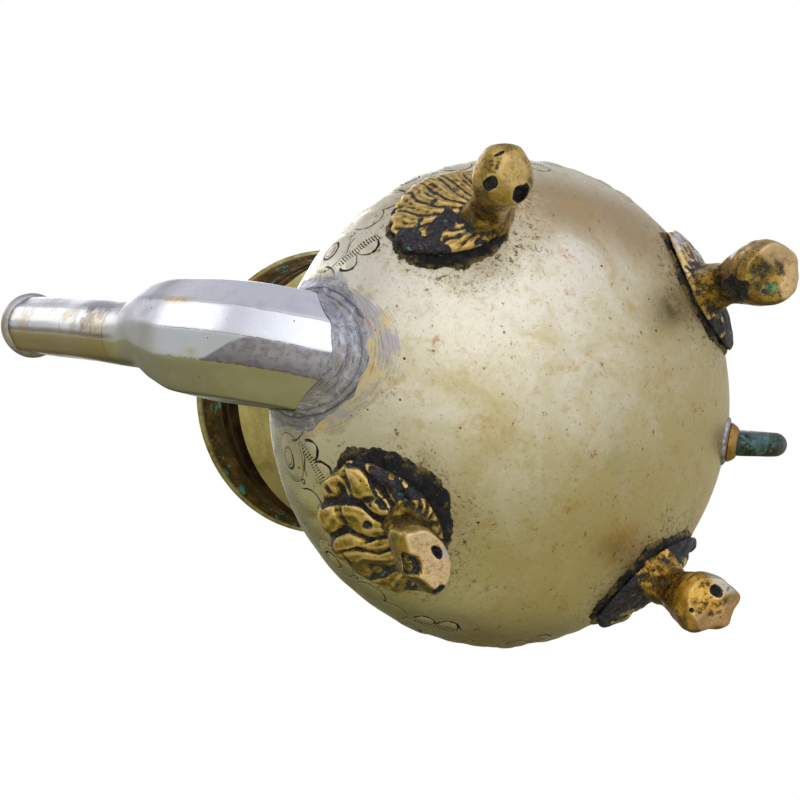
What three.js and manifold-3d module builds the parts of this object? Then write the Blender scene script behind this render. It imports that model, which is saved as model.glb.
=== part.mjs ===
// A footed brass teapot: a raised globular body, a tall flared neck with a turned band and rim,
// an octagonal spout in two lengths, four cast lion's paw feet, a bent rod handle and a hinged lid.
// Millimetres. +Z is up, +X runs to the spout, the origin is on the ground under the body's centre.
import * as THREE from 'three';
import { mergeVertices } from 'three/addons/utils/BufferGeometryUtils.js';
import Module from 'manifold-3d';

const wasm = await Module();
wasm.setup();

// Driving dimensions

// Fits: the gap that seated pieces keep, and how far a cutter runs past what it cuts.
const seatGap = 0.3;
const overrun = 4;

// Overall: the spout's lip and the handle's back reach equally far from the body's axis.
const halfLength = 124;

// Body: two half ellipses that share the widest circle.
const bodyRadius = 75;
const bodyClearance = 9;
const lowerBodyHeight = 52.5;
const upperBodyHeight = 57;
const sheet = 1.4;

// Neck: a sleeve that laps into the body's mouth and flares upward.
const mouthRadius = 45;
const neckLap = 4;
const neckHeight = 53;
const neckTopRadius = 49.5;
const neckFlarePower = 1.7;

// Band: a turned ring that stands inside the neck's edge, then steps out over a dark recess.
const throatRadius = 44.8;
const bandRecessRadius = 46.8;
const bandMouldingRadius = 48.6;
const bandLap = 6;
const bandRecessHeight = 9;
const bandMouldingHeight = 10.5;

// Rim: a flared ring on the band, with a rolled edge and a ledge for the lid.
const rimHeight = 14.5;
const rimFootRadius = 48;
const rimRadius = 52.3;
const rimBead = 1.2;
const rimLedgeDepth = 4;

// Lid: a brim on the ledge, a dome, and a sleeve that centres it in the throat.
const lidSideGap = 0.6;
const lidSheet = 1.4;
const bezelClearance = 0.8;
const bezelTaper = 0.9;
const bezelHeight = 9;
const bezelWall = 1.3;
const domeHeight = 28;
const domeTopRadius = 6;

// Finial: a turned knob with a stem through the dome, a washer outside and a burr inside.
const finialHeight = 24;
const finialRadius = 7;
const stemRadius = 1.7;
const stemHeadDepth = 0.8;
const washerRadius = 7.6;
const washerThickness = 1.6;
const burrRadius = 4.5;
const burrThickness = 1.2;

// Hinge: three knuckles on a pin behind the rim, opposite the spout.
const pinRadius = 1.2;
const pinClearance = 0.3;
const knuckleRadius = 3;
const knuckleGap = 0.4;
const lidKnuckleWidth = 7;
const bracketKnuckleWidth = 5;
const pinHeadRadius = 2;
const pinHeadLength = 1;
const leafThickness = 1.4;
const strapThickness = 1.7;
const strapFootHeight = 8;
const lidOpenRoom = 0.4;

// Spout: an octagonal tube. Its belly runs from inside the body's wall to a shoulder.
const spoutRootHeight = 53.5;
const spoutRootDepth = 24.5;
const spoutMouthHeight = 196.5;
const spoutBellyHalfWidth = 17.7;
const spoutRollDegrees = 5;
const spoutWall = 1.4;
const mouthRingRadius = 11.2;
const mouthRingHalfThickness = 2.1;
const spoutSolderReach = 5;
const spoutSolderThickness = 1.8;
const spoutSolderDrop = 2.5;

// Strainer: holes through the body's wall inside the spout's root.
const strainerHoleRadius = 2.3;
const strainerRingRadius = 8.5;
const strainerRingCount = 6;

// Handle: a round rod that leaves the belly square to it and comes back to the neck.
const rodRadius = 3.9;
const handleRootHeight = 35.5;
const handleTopDrop = 12;
const handleLean = 6.5;
const handleStrayDegrees = 1.6;
const collarRadius = 6.2;
const collarHeight = 3.6;
const collarFlange = 1.1;
const handleSolderReach = 3;
const handleSolderThickness = 0.8;

// Feet: castings with a maned plate on the body, a leg and a lion's paw.
const footCircleRadius = 70;
const footAzimuthDegrees = 46.8;
const footStrayDegrees = 1.8;
const plateHalfWidth = 20;
const plateUp = 18;
const plateDown = 13;
const plateThickness = 3.2;
const plateHeight = 33;
const solderBedThickness = 0.9;
const solderBedReach = 2.2;
const legHalfWidth = 5.6;
const pawHalfWidth = 8.6;
const pawHalfLength = 8.4;
const maneLobes = 5;
const maneLobeShare = 0.05;
const toeShare = 0.07;

// Facets
const roundSegments = 40;
const smallSegments = 16;
const rodSegments = 10;
const octagonSides = 8;
const bodySteps = 8;
const neckSteps = 6;
const beadSteps = 3;
const domeSteps = 6;
const handleSteps = 36;
const outlineSteps = 32;

// Worked out from the dimensions above

const equatorHeight = bodyClearance + lowerBodyHeight;
const fullTurn = 2 * Math.PI;

function ellipseRise(radius, share) {
  return radius * Math.sqrt(1 - share * share);
}

function bodyRadiusAt(height, offset) {
  const rise = height - equatorHeight;
  const half = (rise < 0 ? lowerBodyHeight : upperBodyHeight) + offset;
  return ellipseRise(bodyRadius + offset, rise / half);
}

function shoulderHeightAt(radius, offset) {
  return equatorHeight + ellipseRise(upperBodyHeight + offset, radius / (bodyRadius + offset));
}

const shoulderHeight = shoulderHeightAt(mouthRadius, 0);
const neckTop = shoulderHeight + neckHeight;
const neckRootRadius = mouthRadius - seatGap;

function neckRadiusAt(height) {
  const share = Math.max(0, (height - shoulderHeight) / neckHeight);
  return neckRootRadius + (neckTopRadius - neckRootRadius) * share ** neckFlarePower;
}

const bandShoulder = neckTop + bandRecessHeight;
const bandTop = bandShoulder + bandMouldingHeight;
const rimBase = bandTop + seatGap;
const rimTop = rimBase + rimHeight;
const ledgeHeight = rimTop - rimLedgeDepth;
const handleTopHeight = neckTop - handleTopDrop;
const brimRadius = rimRadius - 2 * rimBead - lidSideGap - seatGap;
const brimBottom = ledgeHeight + seatGap;
const brimTop = brimBottom + lidSheet;
const bezelRadius = throatRadius - bezelClearance;
const domeSpringRadius = bezelRadius - bezelWall + lidSheet;
const domeTop = brimTop + domeHeight;
const stemHoleRadius = stemRadius + seatGap;
const hingeAxisHeight = rimTop + rimBead + lidOpenRoom + leafThickness / 2;
const hingeAxisX = -(rimRadius + knuckleRadius + lidOpenRoom);
const spoutMouthX = halfLength - mouthRingRadius;

// Solids

function toSolid(geometry) {
  const plain = geometry.index ? geometry.toNonIndexed() : geometry.clone();
  plain.deleteAttribute('normal');
  plain.deleteAttribute('uv');
  const merged = mergeVertices(plain);
  return new wasm.Manifold(new wasm.Mesh({
    numProp: 3,
    vertProperties: new Float32Array(merged.attributes.position.array),
    triVerts: new Uint32Array(merged.index.array),
  }));
}

function fromSolid(solid) {
  const mesh = solid.getMesh();
  const geometry = new THREE.BufferGeometry();
  geometry.setAttribute('position', new THREE.Float32BufferAttribute(mesh.vertProperties, 3));
  geometry.setIndex([...mesh.triVerts]);
  geometry.computeVertexNormals();
  return geometry;
}

// A solid of revolution about Z through [radius, height] points, which run up the outside.
function turned(points, segments) {
  const profile = points.map(([radius, height]) => new THREE.Vector2(radius, height));
  const geometry = new THREE.LatheGeometry(profile, segments);
  geometry.rotateX(Math.PI / 2);
  return geometry;
}

function turnedRing(points, segments) {
  return turned([...points, points[0]], segments);
}

// Points on an ellipse in [radius, height], from one angle to another.
function ellipseArc(radius, halfHeight, centre, from, to, steps) {
  const points = [];
  for (let i = 0; i <= steps; i += 1) {
    const angle = from + (to - from) * i / steps;
    points.push([radius * Math.cos(angle), centre + halfHeight * Math.sin(angle)]);
  }
  return points;
}

// A closed skin through rings of equal length, capped at both ends or joined end to end.
function skinned(rings, joined) {
  const count = rings[0].length;
  const positions = rings.flat().flatMap((point) => [point.x, point.y, point.z]);
  const index = [];
  const last = joined ? rings.length : rings.length - 1;
  for (let i = 0; i < last; i += 1) {
    const next = (i + 1) % rings.length;
    for (let j = 0; j < count; j += 1) {
      const across = (j + 1) % count;
      const [a, b] = [i * count + j, i * count + across];
      const [c, d] = [next * count + j, next * count + across];
      index.push(a, b, d, a, d, c);
    }
  }
  if (!joined) {
    for (let j = 1; j < count - 1; j += 1) {
      const start = (rings.length - 1) * count;
      index.push(0, j + 1, j, start, start + j, start + j + 1);
    }
  }
  const geometry = new THREE.BufferGeometry();
  geometry.setAttribute('position', new THREE.Float32BufferAttribute(positions, 3));
  geometry.setIndex(index);
  geometry.computeVertexNormals();
  return geometry;
}

// A ring of points round a centre in the plane Y = 0, square to a direction in that plane.
function crossRing(centre, direction, sides, roll, reach) {
  const outward = new THREE.Vector3(direction.z, 0, -direction.x);
  const ring = [];
  for (let j = 0; j < sides; j += 1) {
    const angle = fullTurn * (j + 0.5) / sides + roll;
    const [deep, wide] = reach(angle);
    ring.push(centre.clone().addScaledVector(outward, deep).add(new THREE.Vector3(0, wide, 0)));
  }
  return ring;
}

function cylinderAlong(direction, radius, length, segments) {
  const geometry = new THREE.CylinderGeometry(radius, radius, length, segments);
  const up = new THREE.Vector3(0, 1, 0);
  const turn = new THREE.Quaternion().setFromUnitVectors(up, direction.clone().normalize());
  return geometry.applyQuaternion(turn);
}

// The body's outline from its bottom on the axis up to its mouth, grown by an offset.
function bodyOutline(offset) {
  const radius = bodyRadius + offset;
  const mouthAngle = Math.acos(mouthRadius / radius);
  const lower = ellipseArc(radius, lowerBodyHeight + offset, equatorHeight,
    -Math.PI / 2, 0, bodySteps);
  const upper = ellipseArc(radius, upperBodyHeight + offset, equatorHeight,
    0, mouthAngle, bodySteps);
  return [[0, lower[0][1]], ...lower.slice(1), ...upper.slice(1)];
}

// The body's outer form as a full solid, closed flat across its mouth.
function bodyOuterSolid(offset) {
  const outline = bodyOutline(offset);
  return toSolid(turned([...outline, [0, outline[outline.length - 1][1]]], roundSegments));
}

// A skin on the body between two offsets from its outer surface.
function bodySkin(inner, outer) {
  return bodyOuterSolid(outer).subtract(bodyOuterSolid(inner));
}

// Body

function strainerHoles() {
  const along = new THREE.Vector3(1, 0, 0);
  const depth = sheet + 2 * overrun;
  const places = [[0, 0]];
  for (let i = 0; i < strainerRingCount; i += 1) {
    const angle = fullTurn * i / strainerRingCount;
    places.push([strainerRingRadius * Math.cos(angle), strainerRingRadius * Math.sin(angle)]);
  }
  return places.map(([across, up]) => {
    const hole = cylinderAlong(along, strainerHoleRadius, depth, octagonSides);
    hole.translate(bodyRadius - sheet, across, spoutRootHeight + up);
    return toSolid(hole);
  });
}

function bodyGeometry() {
  const inside = bodyOutline(-sheet).reverse();
  let solid = toSolid(turned([...bodyOutline(0), ...inside], roundSegments));
  for (const hole of strainerHoles()) {
    solid = solid.subtract(hole);
  }
  return fromSolid(solid);
}

// Neck, band and rim

function neckGeometry() {
  const outside = [[neckRootRadius, shoulderHeight - neckLap]];
  for (let i = 0; i <= neckSteps; i += 1) {
    const height = shoulderHeight + neckHeight * i / neckSteps;
    outside.push([neckRadiusAt(height), height]);
  }
  const inside = outside.map(([radius, height]) => [radius - sheet, height]).reverse();
  return turnedRing([...outside, ...inside], roundSegments);
}

function bandGeometry() {
  const bevel = bandMouldingRadius - bandRecessRadius;
  const groove = bevel / 2;
  return turnedRing([
    [throatRadius, neckTop - bandLap],
    [bandRecessRadius, neckTop - bandLap],
    [bandRecessRadius, bandShoulder],
    [bandMouldingRadius, bandShoulder + bevel],
    [bandMouldingRadius, bandShoulder + 2 * bevel],
    [bandMouldingRadius - groove, bandShoulder + 3 * bevel],
    [bandMouldingRadius - groove, bandTop - groove],
    [bandMouldingRadius, bandTop],
    [throatRadius, bandTop],
  ], roundSegments);
}

// The rim's flare, as shares of the way out and of the way up to its rolled edge, and the share of
// a full turn that the rolled edge makes.
const rimFlareShares = [[0, 0], [-0.08, 0.22], [0.06, 0.48], [0.32, 0.72], [0.66, 0.9]];
const beadTurnShare = 0.75;

function rimGeometry() {
  const beadCentre = [rimRadius - rimBead, rimTop - rimBead];
  const outside = rimFlareShares.map(([across, up]) => [
    rimFootRadius + (rimRadius - rimFootRadius) * across,
    rimBase + (rimHeight - 2 * rimBead) * up,
  ]);
  const bead = [];
  for (let i = 0; i <= beadSteps; i += 1) {
    const angle = fullTurn * beadTurnShare * i / beadSteps - Math.PI / 2;
    bead.push([beadCentre[0] + rimBead * Math.cos(angle), beadCentre[1] + rimBead * Math.sin(angle)]);
  }
  return turnedRing([
    [throatRadius, rimBase],
    ...outside,
    ...bead,
    [brimRadius + lidSideGap, beadCentre[1]],
    [brimRadius + lidSideGap, ledgeHeight],
    [throatRadius, ledgeHeight],
  ], roundSegments);
}

// Lid and finial

function lidGeometry() {
  const topAngle = Math.acos(domeTopRadius / domeSpringRadius);
  const outer = ellipseArc(domeSpringRadius, domeHeight / Math.sin(topAngle), brimTop,
    0, topAngle, domeSteps);
  const inner = outer.map(([radius, height]) => [
    radius - lidSheet * (radius - domeTopRadius) / (domeSpringRadius - domeTopRadius),
    height - lidSheet,
  ]).reverse();
  return turnedRing([
    [brimRadius, brimBottom],
    [brimRadius, brimTop],
    ...outer,
    [stemHoleRadius, domeTop],
    [stemHoleRadius, domeTop - lidSheet],
    ...inner,
  ], roundSegments);
}

function bezelGeometry() {
  const top = brimBottom - seatGap;
  return turnedRing([
    [bezelRadius - bezelTaper, top - bezelHeight],
    [bezelRadius, top],
    [bezelRadius - bezelWall, top],
    [bezelRadius - bezelTaper - bezelWall, top - bezelHeight],
  ], roundSegments);
}

// The knob's outline, as shares of its radius and of its height above the washer.
const finialShares = [[0.62, 0], [0.8, 0.06], [0.42, 0.15], [0.38, 0.24], [0.78, 0.36],
  [1, 0.5], [0.82, 0.66], [0.4, 0.76], [0.52, 0.83], [0.3, 0.92], [0, 1]];

function finialGeometry(washerTop, stemBottom) {
  const knob = finialShares.map(([across, up]) => [
    finialRadius * across, washerTop + seatGap + finialHeight * up,
  ]);
  return turned([
    [0, stemBottom], [stemRadius, stemBottom], [stemRadius, washerTop + seatGap], ...knob,
  ], smallSegments);
}

function washerGeometry(inner, outer, bottom, thickness) {
  const chamfer = thickness / 3;
  return turnedRing([
    [inner, bottom],
    [outer, bottom],
    [outer, bottom + thickness - chamfer],
    [outer - chamfer, bottom + thickness],
    [inner, bottom + thickness],
  ], smallSegments);
}

// Hinge: outlines in [distance behind the body's axis, height], extruded along Y.

function acrossPlate(outline, width, holes) {
  const shape = new THREE.Shape(outline.map(([back, height]) => new THREE.Vector2(-back, height)));
  for (const [back, height, radius] of holes) {
    const hole = new THREE.Path();
    hole.absarc(-back, height, radius, 0, fullTurn, true);
    shape.holes.push(hole);
  }
  const geometry = new THREE.ExtrudeGeometry(shape, {
    depth: width, bevelEnabled: false, curveSegments: smallSegments / 2,
  });
  geometry.rotateX(Math.PI / 2);
  geometry.translate(0, width / 2, 0);
  return geometry;
}

const axisBack = -hingeAxisX;
const pinHoleRadius = pinRadius + pinClearance;

function knuckle(width) {
  const outline = [];
  for (let i = 0; i < smallSegments; i += 1) {
    const angle = fullTurn * (i + 0.5) / smallSegments;
    outline.push([
      axisBack + knuckleRadius * Math.cos(angle), hingeAxisHeight + knuckleRadius * Math.sin(angle),
    ]);
  }
  return toSolid(acrossPlate(outline, width, []));
}

function pinHole() {
  const length = lidKnuckleWidth + 2 * bracketKnuckleWidth + 2 * overrun;
  const hole = cylinderAlong(new THREE.Vector3(0, 1, 0), pinHoleRadius, length, smallSegments);
  hole.translate(hingeAxisX, 0, hingeAxisHeight);
  return toSolid(hole);
}

function lidLeafGeometry() {
  const footOut = brimRadius - seatGap * 2;
  const footIn = domeSpringRadius + seatGap;
  const plateBottom = hingeAxisHeight - leafThickness / 2;
  const plateTop = hingeAxisHeight + leafThickness / 2;
  const plate = toSolid(acrossPlate([
    [footIn, brimTop + seatGap],
    [footOut, brimTop + seatGap],
    [footOut, plateBottom],
    [axisBack, plateBottom],
    [axisBack, plateTop],
    [footOut - leafThickness, plateTop],
    [footIn + leafThickness / 2, plateTop],
  ].reverse(), lidKnuckleWidth, []));
  return fromSolid(plate.add(knuckle(lidKnuckleWidth)).subtract(pinHole()));
}

function bracketGeometry() {
  const width = lidKnuckleWidth + 2 * knuckleGap + 2 * bracketKnuckleWidth;
  const footTop = bandTop;
  const footBottom = footTop - strapFootHeight;
  const strapOut = axisBack + knuckleRadius / 2;
  const strapIn = strapOut - strapThickness;
  const footIn = bandMouldingRadius + seatGap;
  const strap = toSolid(acrossPlate([
    [footIn, footBottom],
    [strapOut - strapThickness, footBottom],
    [strapOut, footBottom + strapThickness],
    [strapOut, hingeAxisHeight],
    [strapIn, hingeAxisHeight],
    [strapIn, footTop],
    [footIn, footTop],
  ].reverse(), width, []));
  const middle = lidKnuckleWidth + 2 * knuckleGap;
  const slotBottom = hingeAxisHeight - knuckleRadius - knuckleGap;
  const slot = toSolid(acrossPlate([
    [strapIn - knuckleRadius * 2, slotBottom],
    [strapOut + knuckleRadius * 2, slotBottom],
    [strapOut + knuckleRadius * 2, hingeAxisHeight + knuckleRadius * 2],
    [strapIn - knuckleRadius * 2, hingeAxisHeight + knuckleRadius * 2],
  ].reverse(), middle, []));
  return fromSolid(strap.add(knuckle(width)).subtract(slot).subtract(pinHole()));
}

function pinGeometry() {
  const length = lidKnuckleWidth + 2 * knuckleGap + 2 * bracketKnuckleWidth + 2 * seatGap;
  const half = length / 2;
  const geometry = turned([
    [0, -half - pinHeadLength],
    [pinHeadRadius, -half - pinHeadLength],
    [pinHeadRadius, -half],
    [pinRadius, -half],
    [pinRadius, half],
    [pinHeadRadius, half],
    [pinHeadRadius, half + pinHeadLength],
    [0, half + pinHeadLength],
  ], smallSegments);
  geometry.rotateX(Math.PI / 2);
  return geometry;
}

// Spout

// The root's stations run through the body's wall: shares of the root's depth, of the way up from
// the root to the lip, and of the belly's half width.
const spoutRootShares = [[-1, 0, 1], [-0.28, 0.02, 0.98], [0.18, 0.08, 0.99]];

// The other stations: shares of the way out from the body's radius to the lip and of the way up,
// and shares of the belly's half width: the half width there, and a small lean to one side.
const spoutShares = [
  [0.26, 0.17, 1, 0], [0.39, 0.28, 0.98, 0], [0.508, 0.352, 0.92, 0], [0.6, 0.41, 0.8, -0.02],
  [0.674, 0.455, 0.68, -0.02], [0.728, 0.492, 0.61, -0.02], [0.82, 0.61, 0.575, -0.02],
  [0.86, 0.74, 0.56, -0.02], [0.93, 0.87, 0.55, -0.02], [1, 1, 0.53, -0.02],
];
const bellyStationCount = 9;
const spoutRoll = THREE.MathUtils.degToRad(spoutRollDegrees);

function spoutStations() {
  const rise = spoutMouthHeight - spoutRootHeight;
  const root = spoutRootShares.map(([deep, up]) => new THREE.Vector3(
    bodyRadius + spoutRootDepth * deep, 0, spoutRootHeight + rise * up,
  ));
  const rest = spoutShares.map(([across, up, , aside]) => new THREE.Vector3(
    bodyRadius + (spoutMouthX - bodyRadius) * across, spoutBellyHalfWidth * aside,
    spoutRootHeight + rise * up,
  ));
  const points = [...root, ...rest];
  const halves = [...spoutRootShares, ...spoutShares].map((shares) => shares[2]);
  const last = points.length - 1;
  return points.map((point, i) => {
    const before = points[Math.max(0, i - 1)];
    const after = points[Math.min(last, i + 1)];
    const run = after.clone().sub(before).setY(0).normalize();
    const direction = i === last ? new THREE.Vector3(0, 0, 1) : run;
    return { point, direction, half: spoutBellyHalfWidth * halves[i] };
  });
}

// Cross rings whose flats lie the stations' half widths, grown by an amount, from the middle line.
function spoutRings(stations, grow, sides) {
  return stations.map(({ point, direction, half }) => {
    const corner = (half + grow) / Math.cos(Math.PI / sides);
    return crossRing(point, direction, sides, spoutRoll, (angle) => [
      corner * Math.cos(angle), corner * Math.sin(angle),
    ]);
  });
}

// An open tube: outer rings down the outside, then inner rings back up the bore.
function spoutTube(stations) {
  const outer = spoutRings(stations, 0, octagonSides);
  const inner = spoutRings(stations, -spoutWall, octagonSides).reverse();
  return skinned([...outer, ...inner], true);
}

function spoutParts() {
  const stations = spoutStations();
  const belly = stations.slice(0, bellyStationCount);
  const neckOfSpout = stations.slice(bellyStationCount - 1);
  const joint = neckOfSpout[0];
  const seat = joint.point.clone().addScaledVector(joint.direction, seatGap);
  neckOfSpout[0] = { ...joint, point: seat };
  return { belly, neckOfSpout };
}

function spoutBellyGeometry(belly) {
  return fromSolid(toSolid(spoutTube(belly)).subtract(bodyOuterSolid(seatGap)));
}

function mouthRingGeometry() {
  const centre = mouthRingRadius - mouthRingHalfThickness;
  const points = [];
  for (let i = 0; i < smallSegments / 2; i += 1) {
    const angle = fullTurn * i / (smallSegments / 2) - Math.PI / 2;
    points.push([
      centre + mouthRingHalfThickness * Math.cos(angle), mouthRingHalfThickness * Math.sin(angle),
    ]);
  }
  return turnedRing(points, smallSegments);
}

// The solder collar spreads over the body round the spout's root, farther below than above.
function spoutSolderGeometry(belly) {
  const root = belly.slice(0, spoutRootShares.length);
  const drop = new THREE.Vector3(0, 0, -spoutSolderDrop);
  const spread = root.map((station) => ({ ...station, point: station.point.clone().add(drop) }));
  const outline = toSolid(skinned(spoutRings(spread, spoutSolderReach, smallSegments), false));
  const bore = toSolid(skinned(spoutRings(root, seatGap, octagonSides), false));
  const skin = bodySkin(seatGap, seatGap + spoutSolderThickness);
  return fromSolid(skin.intersect(outline).subtract(bore));
}

// Handle

const handleRoot = new THREE.Vector3(-bodyRadiusAt(handleRootHeight, 0), 0, handleRootHeight);

// The outward normal of the body at a point in the plane Y = 0 below its widest circle.
function bodyNormalAt(point) {
  const rise = point.z - equatorHeight;
  return new THREE.Vector3(
    point.x / bodyRadius ** 2, 0, rise / lowerBodyHeight ** 2,
  ).normalize();
}

const handleNormal = bodyNormalAt(handleRoot);
const handleTop = new THREE.Vector3(-neckRadiusAt(handleTopHeight), 0, handleTopHeight);

// The outward normal of the neck's flare on the handle's side.
function neckNormalAt(height) {
  const share = (height - shoulderHeight) / neckHeight;
  const flare = (neckTopRadius - neckRootRadius) * neckFlarePower / neckHeight;
  return new THREE.Vector3(-1, 0, -flare * share ** (neckFlarePower - 1)).normalize();
}

const neckNormal = neckNormalAt(handleTopHeight);

// Shares of the way from the root out to the rod's farthest line, and from the root up to the top.
const handleShares = [
  [0.3, -0.015], [0.45, 0.09], [0.69, 0.27], [0.89, 0.45], [1, 0.65],
  [0.94, 0.86], [0.69, 1.02], [0.3, 1.05],
];

function handlePath() {
  const reach = halfLength - rodRadius;
  const across = reach + handleRoot.x;
  const up = handleTop.z - handleRoot.z;
  const straight = collarHeight + seatGap;
  const middle = handleShares.map(([out, rise]) => new THREE.Vector3(
    handleRoot.x - across * out, handleLean * out, handleRoot.z + up * rise,
  ));
  return [
    handleRoot.clone().addScaledVector(handleNormal, seatGap),
    handleRoot.clone().addScaledVector(handleNormal, straight),
    handleRoot.clone().addScaledVector(handleNormal, straight + seatGap),
    ...middle,
    handleTop.clone().addScaledVector(neckNormal, straight + seatGap),
    handleTop.clone().addScaledVector(neckNormal, straight),
    handleTop.clone().addScaledVector(neckNormal, seatGap),
  ];
}

function handleGeometry() {
  const section = new THREE.Shape();
  for (let i = 0; i < rodSegments; i += 1) {
    const angle = fullTurn * i / rodSegments;
    const [x, y] = [rodRadius * Math.cos(angle), rodRadius * Math.sin(angle)];
    if (i === 0) {
      section.moveTo(x, y);
    } else {
      section.lineTo(x, y);
    }
  }
  const curve = new THREE.CatmullRomCurve3(handlePath(), false, 'centripetal');
  return new THREE.ExtrudeGeometry(section, { steps: handleSteps, extrudePath: curve });
}

// A domed disc with a flange, bored for the rod, seated on a surface with the given normal.
function collarGeometry(place, normal) {
  const bore = rodRadius + seatGap;
  const geometry = turnedRing([
    [bore, seatGap],
    [collarRadius, seatGap],
    [collarRadius, seatGap + collarFlange],
    [(collarRadius + bore) / 2, (seatGap + collarHeight + collarFlange) / 2],
    [bore + seatGap, collarHeight],
    [bore, collarHeight],
  ], smallSegments + octagonSides);
  const up = new THREE.Vector3(0, 0, 1);
  geometry.applyQuaternion(new THREE.Quaternion().setFromUnitVectors(up, normal));
  return geometry.translate(place.x, place.y, place.z);
}

function handleSolderGeometry() {
  const outer = cylinderAlong(handleNormal, collarRadius + handleSolderReach, 2 * collarRadius,
    smallSegments);
  const inner = cylinderAlong(handleNormal, collarRadius + seatGap, 3 * collarRadius,
    smallSegments);
  outer.translate(handleRoot.x, 0, handleRoot.z);
  inner.translate(handleRoot.x, 0, handleRoot.z);
  const skin = bodySkin(seatGap, seatGap + handleSolderThickness);
  return fromSolid(skin.intersect(toSolid(outer)).subtract(toSolid(inner)));
}

// Feet, built on the plane Y = 0 and turned into place

const plateCentre = new THREE.Vector3(bodyRadiusAt(plateHeight, 0), 0, plateHeight);
const plateNormal = bodyNormalAt(plateCentre);
const plateUpward = new THREE.Vector3(-plateNormal.z, 0, plateNormal.x);

// How much narrower the plate is at its lowest point, as a share of its width.
const taperShare = 0.25;

// The plate's fan outline: a lobed half ellipse of mane above the leg, a plainer one below it.
function plateOutline(grow, steps, lobeShare) {
  const points = [];
  for (let i = 0; i < steps; i += 1) {
    const angle = fullTurn * i / steps;
    const upward = Math.sin(angle);
    const lobe = upward > 0 ? 1 + lobeShare * Math.cos(2 * maneLobes * angle) : 1;
    const tall = (upward > 0 ? plateUp : plateDown) + grow;
    const taper = upward < 0 ? 1 + taperShare * upward : 1;
    points.push([
      (plateHalfWidth + grow) * Math.cos(angle) * lobe * taper, tall * upward * lobe,
    ]);
  }
  return points;
}

function platePrism(grow, steps, lobeShare) {
  const outline = plateOutline(grow, steps, lobeShare);
  const shape = new THREE.Shape(outline.map(([x, y]) => new THREE.Vector2(x, y)));
  const depth = 2 * plateHalfWidth;
  const geometry = new THREE.ExtrudeGeometry(shape, { depth, bevelEnabled: false });
  geometry.translate(0, 0, -depth / 2);
  const basis = new THREE.Matrix4().makeBasis(
    new THREE.Vector3(0, 1, 0), plateUpward, plateNormal,
  );
  geometry.applyMatrix4(basis);
  geometry.translate(plateCentre.x, plateCentre.y, plateCentre.z);
  return toSolid(geometry);
}

// Leg and paw: how far the leg springs below the plate's middle, as a share of the plate below it,
// then for each ring its height and way out to the paw's circle, and how much it is paw and toes.
const legRootShare = 0.65;
const legStationShares = [
  [1.25, -0.15, 0, 0], [0.95, 0.2, 0, 0], [0.72, 0.55, 0.15, 0.1], [0.5, 0.82, 0.6, 0.5],
  [0.32, 0.97, 0.95, 0.95], [0.16, 1, 1, 1], [0.05, 1, 0.92, 0.8], [0, 1, 0.75, 0.6],
];

function legGeometry() {
  const top = plateCentre.clone().addScaledVector(plateUpward, -plateDown * legRootShare);
  const down = new THREE.Vector3(0, 0, 1);
  const rings = legStationShares.map(([up, out, paw, toe]) => {
    const x = top.x + (footCircleRadius - top.x) * out;
    const height = top.z * up;
    const centre = new THREE.Vector3(x, 0, height);
    const wide = legHalfWidth + (pawHalfWidth - legHalfWidth) * paw;
    const long = legHalfWidth + (pawHalfLength - legHalfWidth) * paw;
    return crossRing(centre, down, smallSegments, 0, (angle) => {
      const swell = 1 + toeShare * toe * Math.cos(angle * octagonSides / 2) * Math.cos(angle / 2);
      return [long * Math.cos(angle) * swell, wide * Math.sin(angle) * swell];
    });
  });
  return skinned(rings.reverse(), false);
}

function footGeometry() {
  const back = seatGap + solderBedThickness + seatGap;
  const prism = platePrism(0, outlineSteps, maneLobeShare);
  const plate = bodySkin(back, back + plateThickness).intersect(prism);
  const leg = toSolid(legGeometry()).subtract(bodyOuterSolid(back));
  return fromSolid(plate.add(leg));
}

function footSolderGeometry() {
  const skin = bodySkin(seatGap, seatGap + solderBedThickness);
  return fromSolid(skin.intersect(platePrism(solderBedReach, outlineSteps / 2, 0)));
}

// Materials

function metal(color, roughness) {
  return new THREE.MeshStandardMaterial({ color, roughness, metalness: 0.9 });
}

const paleBrass = metal(0xb3ae86, 0.42);
const neckBrass = metal(0xa69b5e, 0.4);
const darkBrass = metal(0x4d3a1a, 0.55);
const rimBrass = metal(0x7d6a34, 0.45);
const tinned = metal(0xb9bac2, 0.3);
const solder = metal(0x8f9099, 0.6);
const blackSolder = metal(0x22222a, 0.8);
const castBrass = metal(0xa98542, 0.45);
const patinated = metal(0x4f6a70, 0.6);
const collarBrass = metal(0x9c7a3e, 0.4);

// Assembly

const teapot = new THREE.Group();

function addPiece(name, geometry, material, parent = teapot) {
  const mesh = new THREE.Mesh(geometry, material);
  mesh.name = name;
  parent.add(mesh);
  return mesh;
}

addPiece('body', bodyGeometry(), paleBrass);
addPiece('neck', neckGeometry(), neckBrass);
addPiece('neck_band', bandGeometry(), darkBrass);
addPiece('rim_flange', rimGeometry(), rimBrass);

const { belly, neckOfSpout } = spoutParts();
addPiece('spout_belly', spoutBellyGeometry(belly), tinned);
addPiece('spout_neck', spoutTube(neckOfSpout), tinned);
const mouthRing = addPiece('spout_mouth_ring', mouthRingGeometry(), tinned);
const spoutEnd = neckOfSpout[neckOfSpout.length - 1].point;
mouthRing.position.copy(spoutEnd);
mouthRing.position.z += seatGap + mouthRingHalfThickness;
addPiece('spout_solder', spoutSolderGeometry(belly), solder);

const footShape = footGeometry();
const bedShape = footSolderGeometry();
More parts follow.
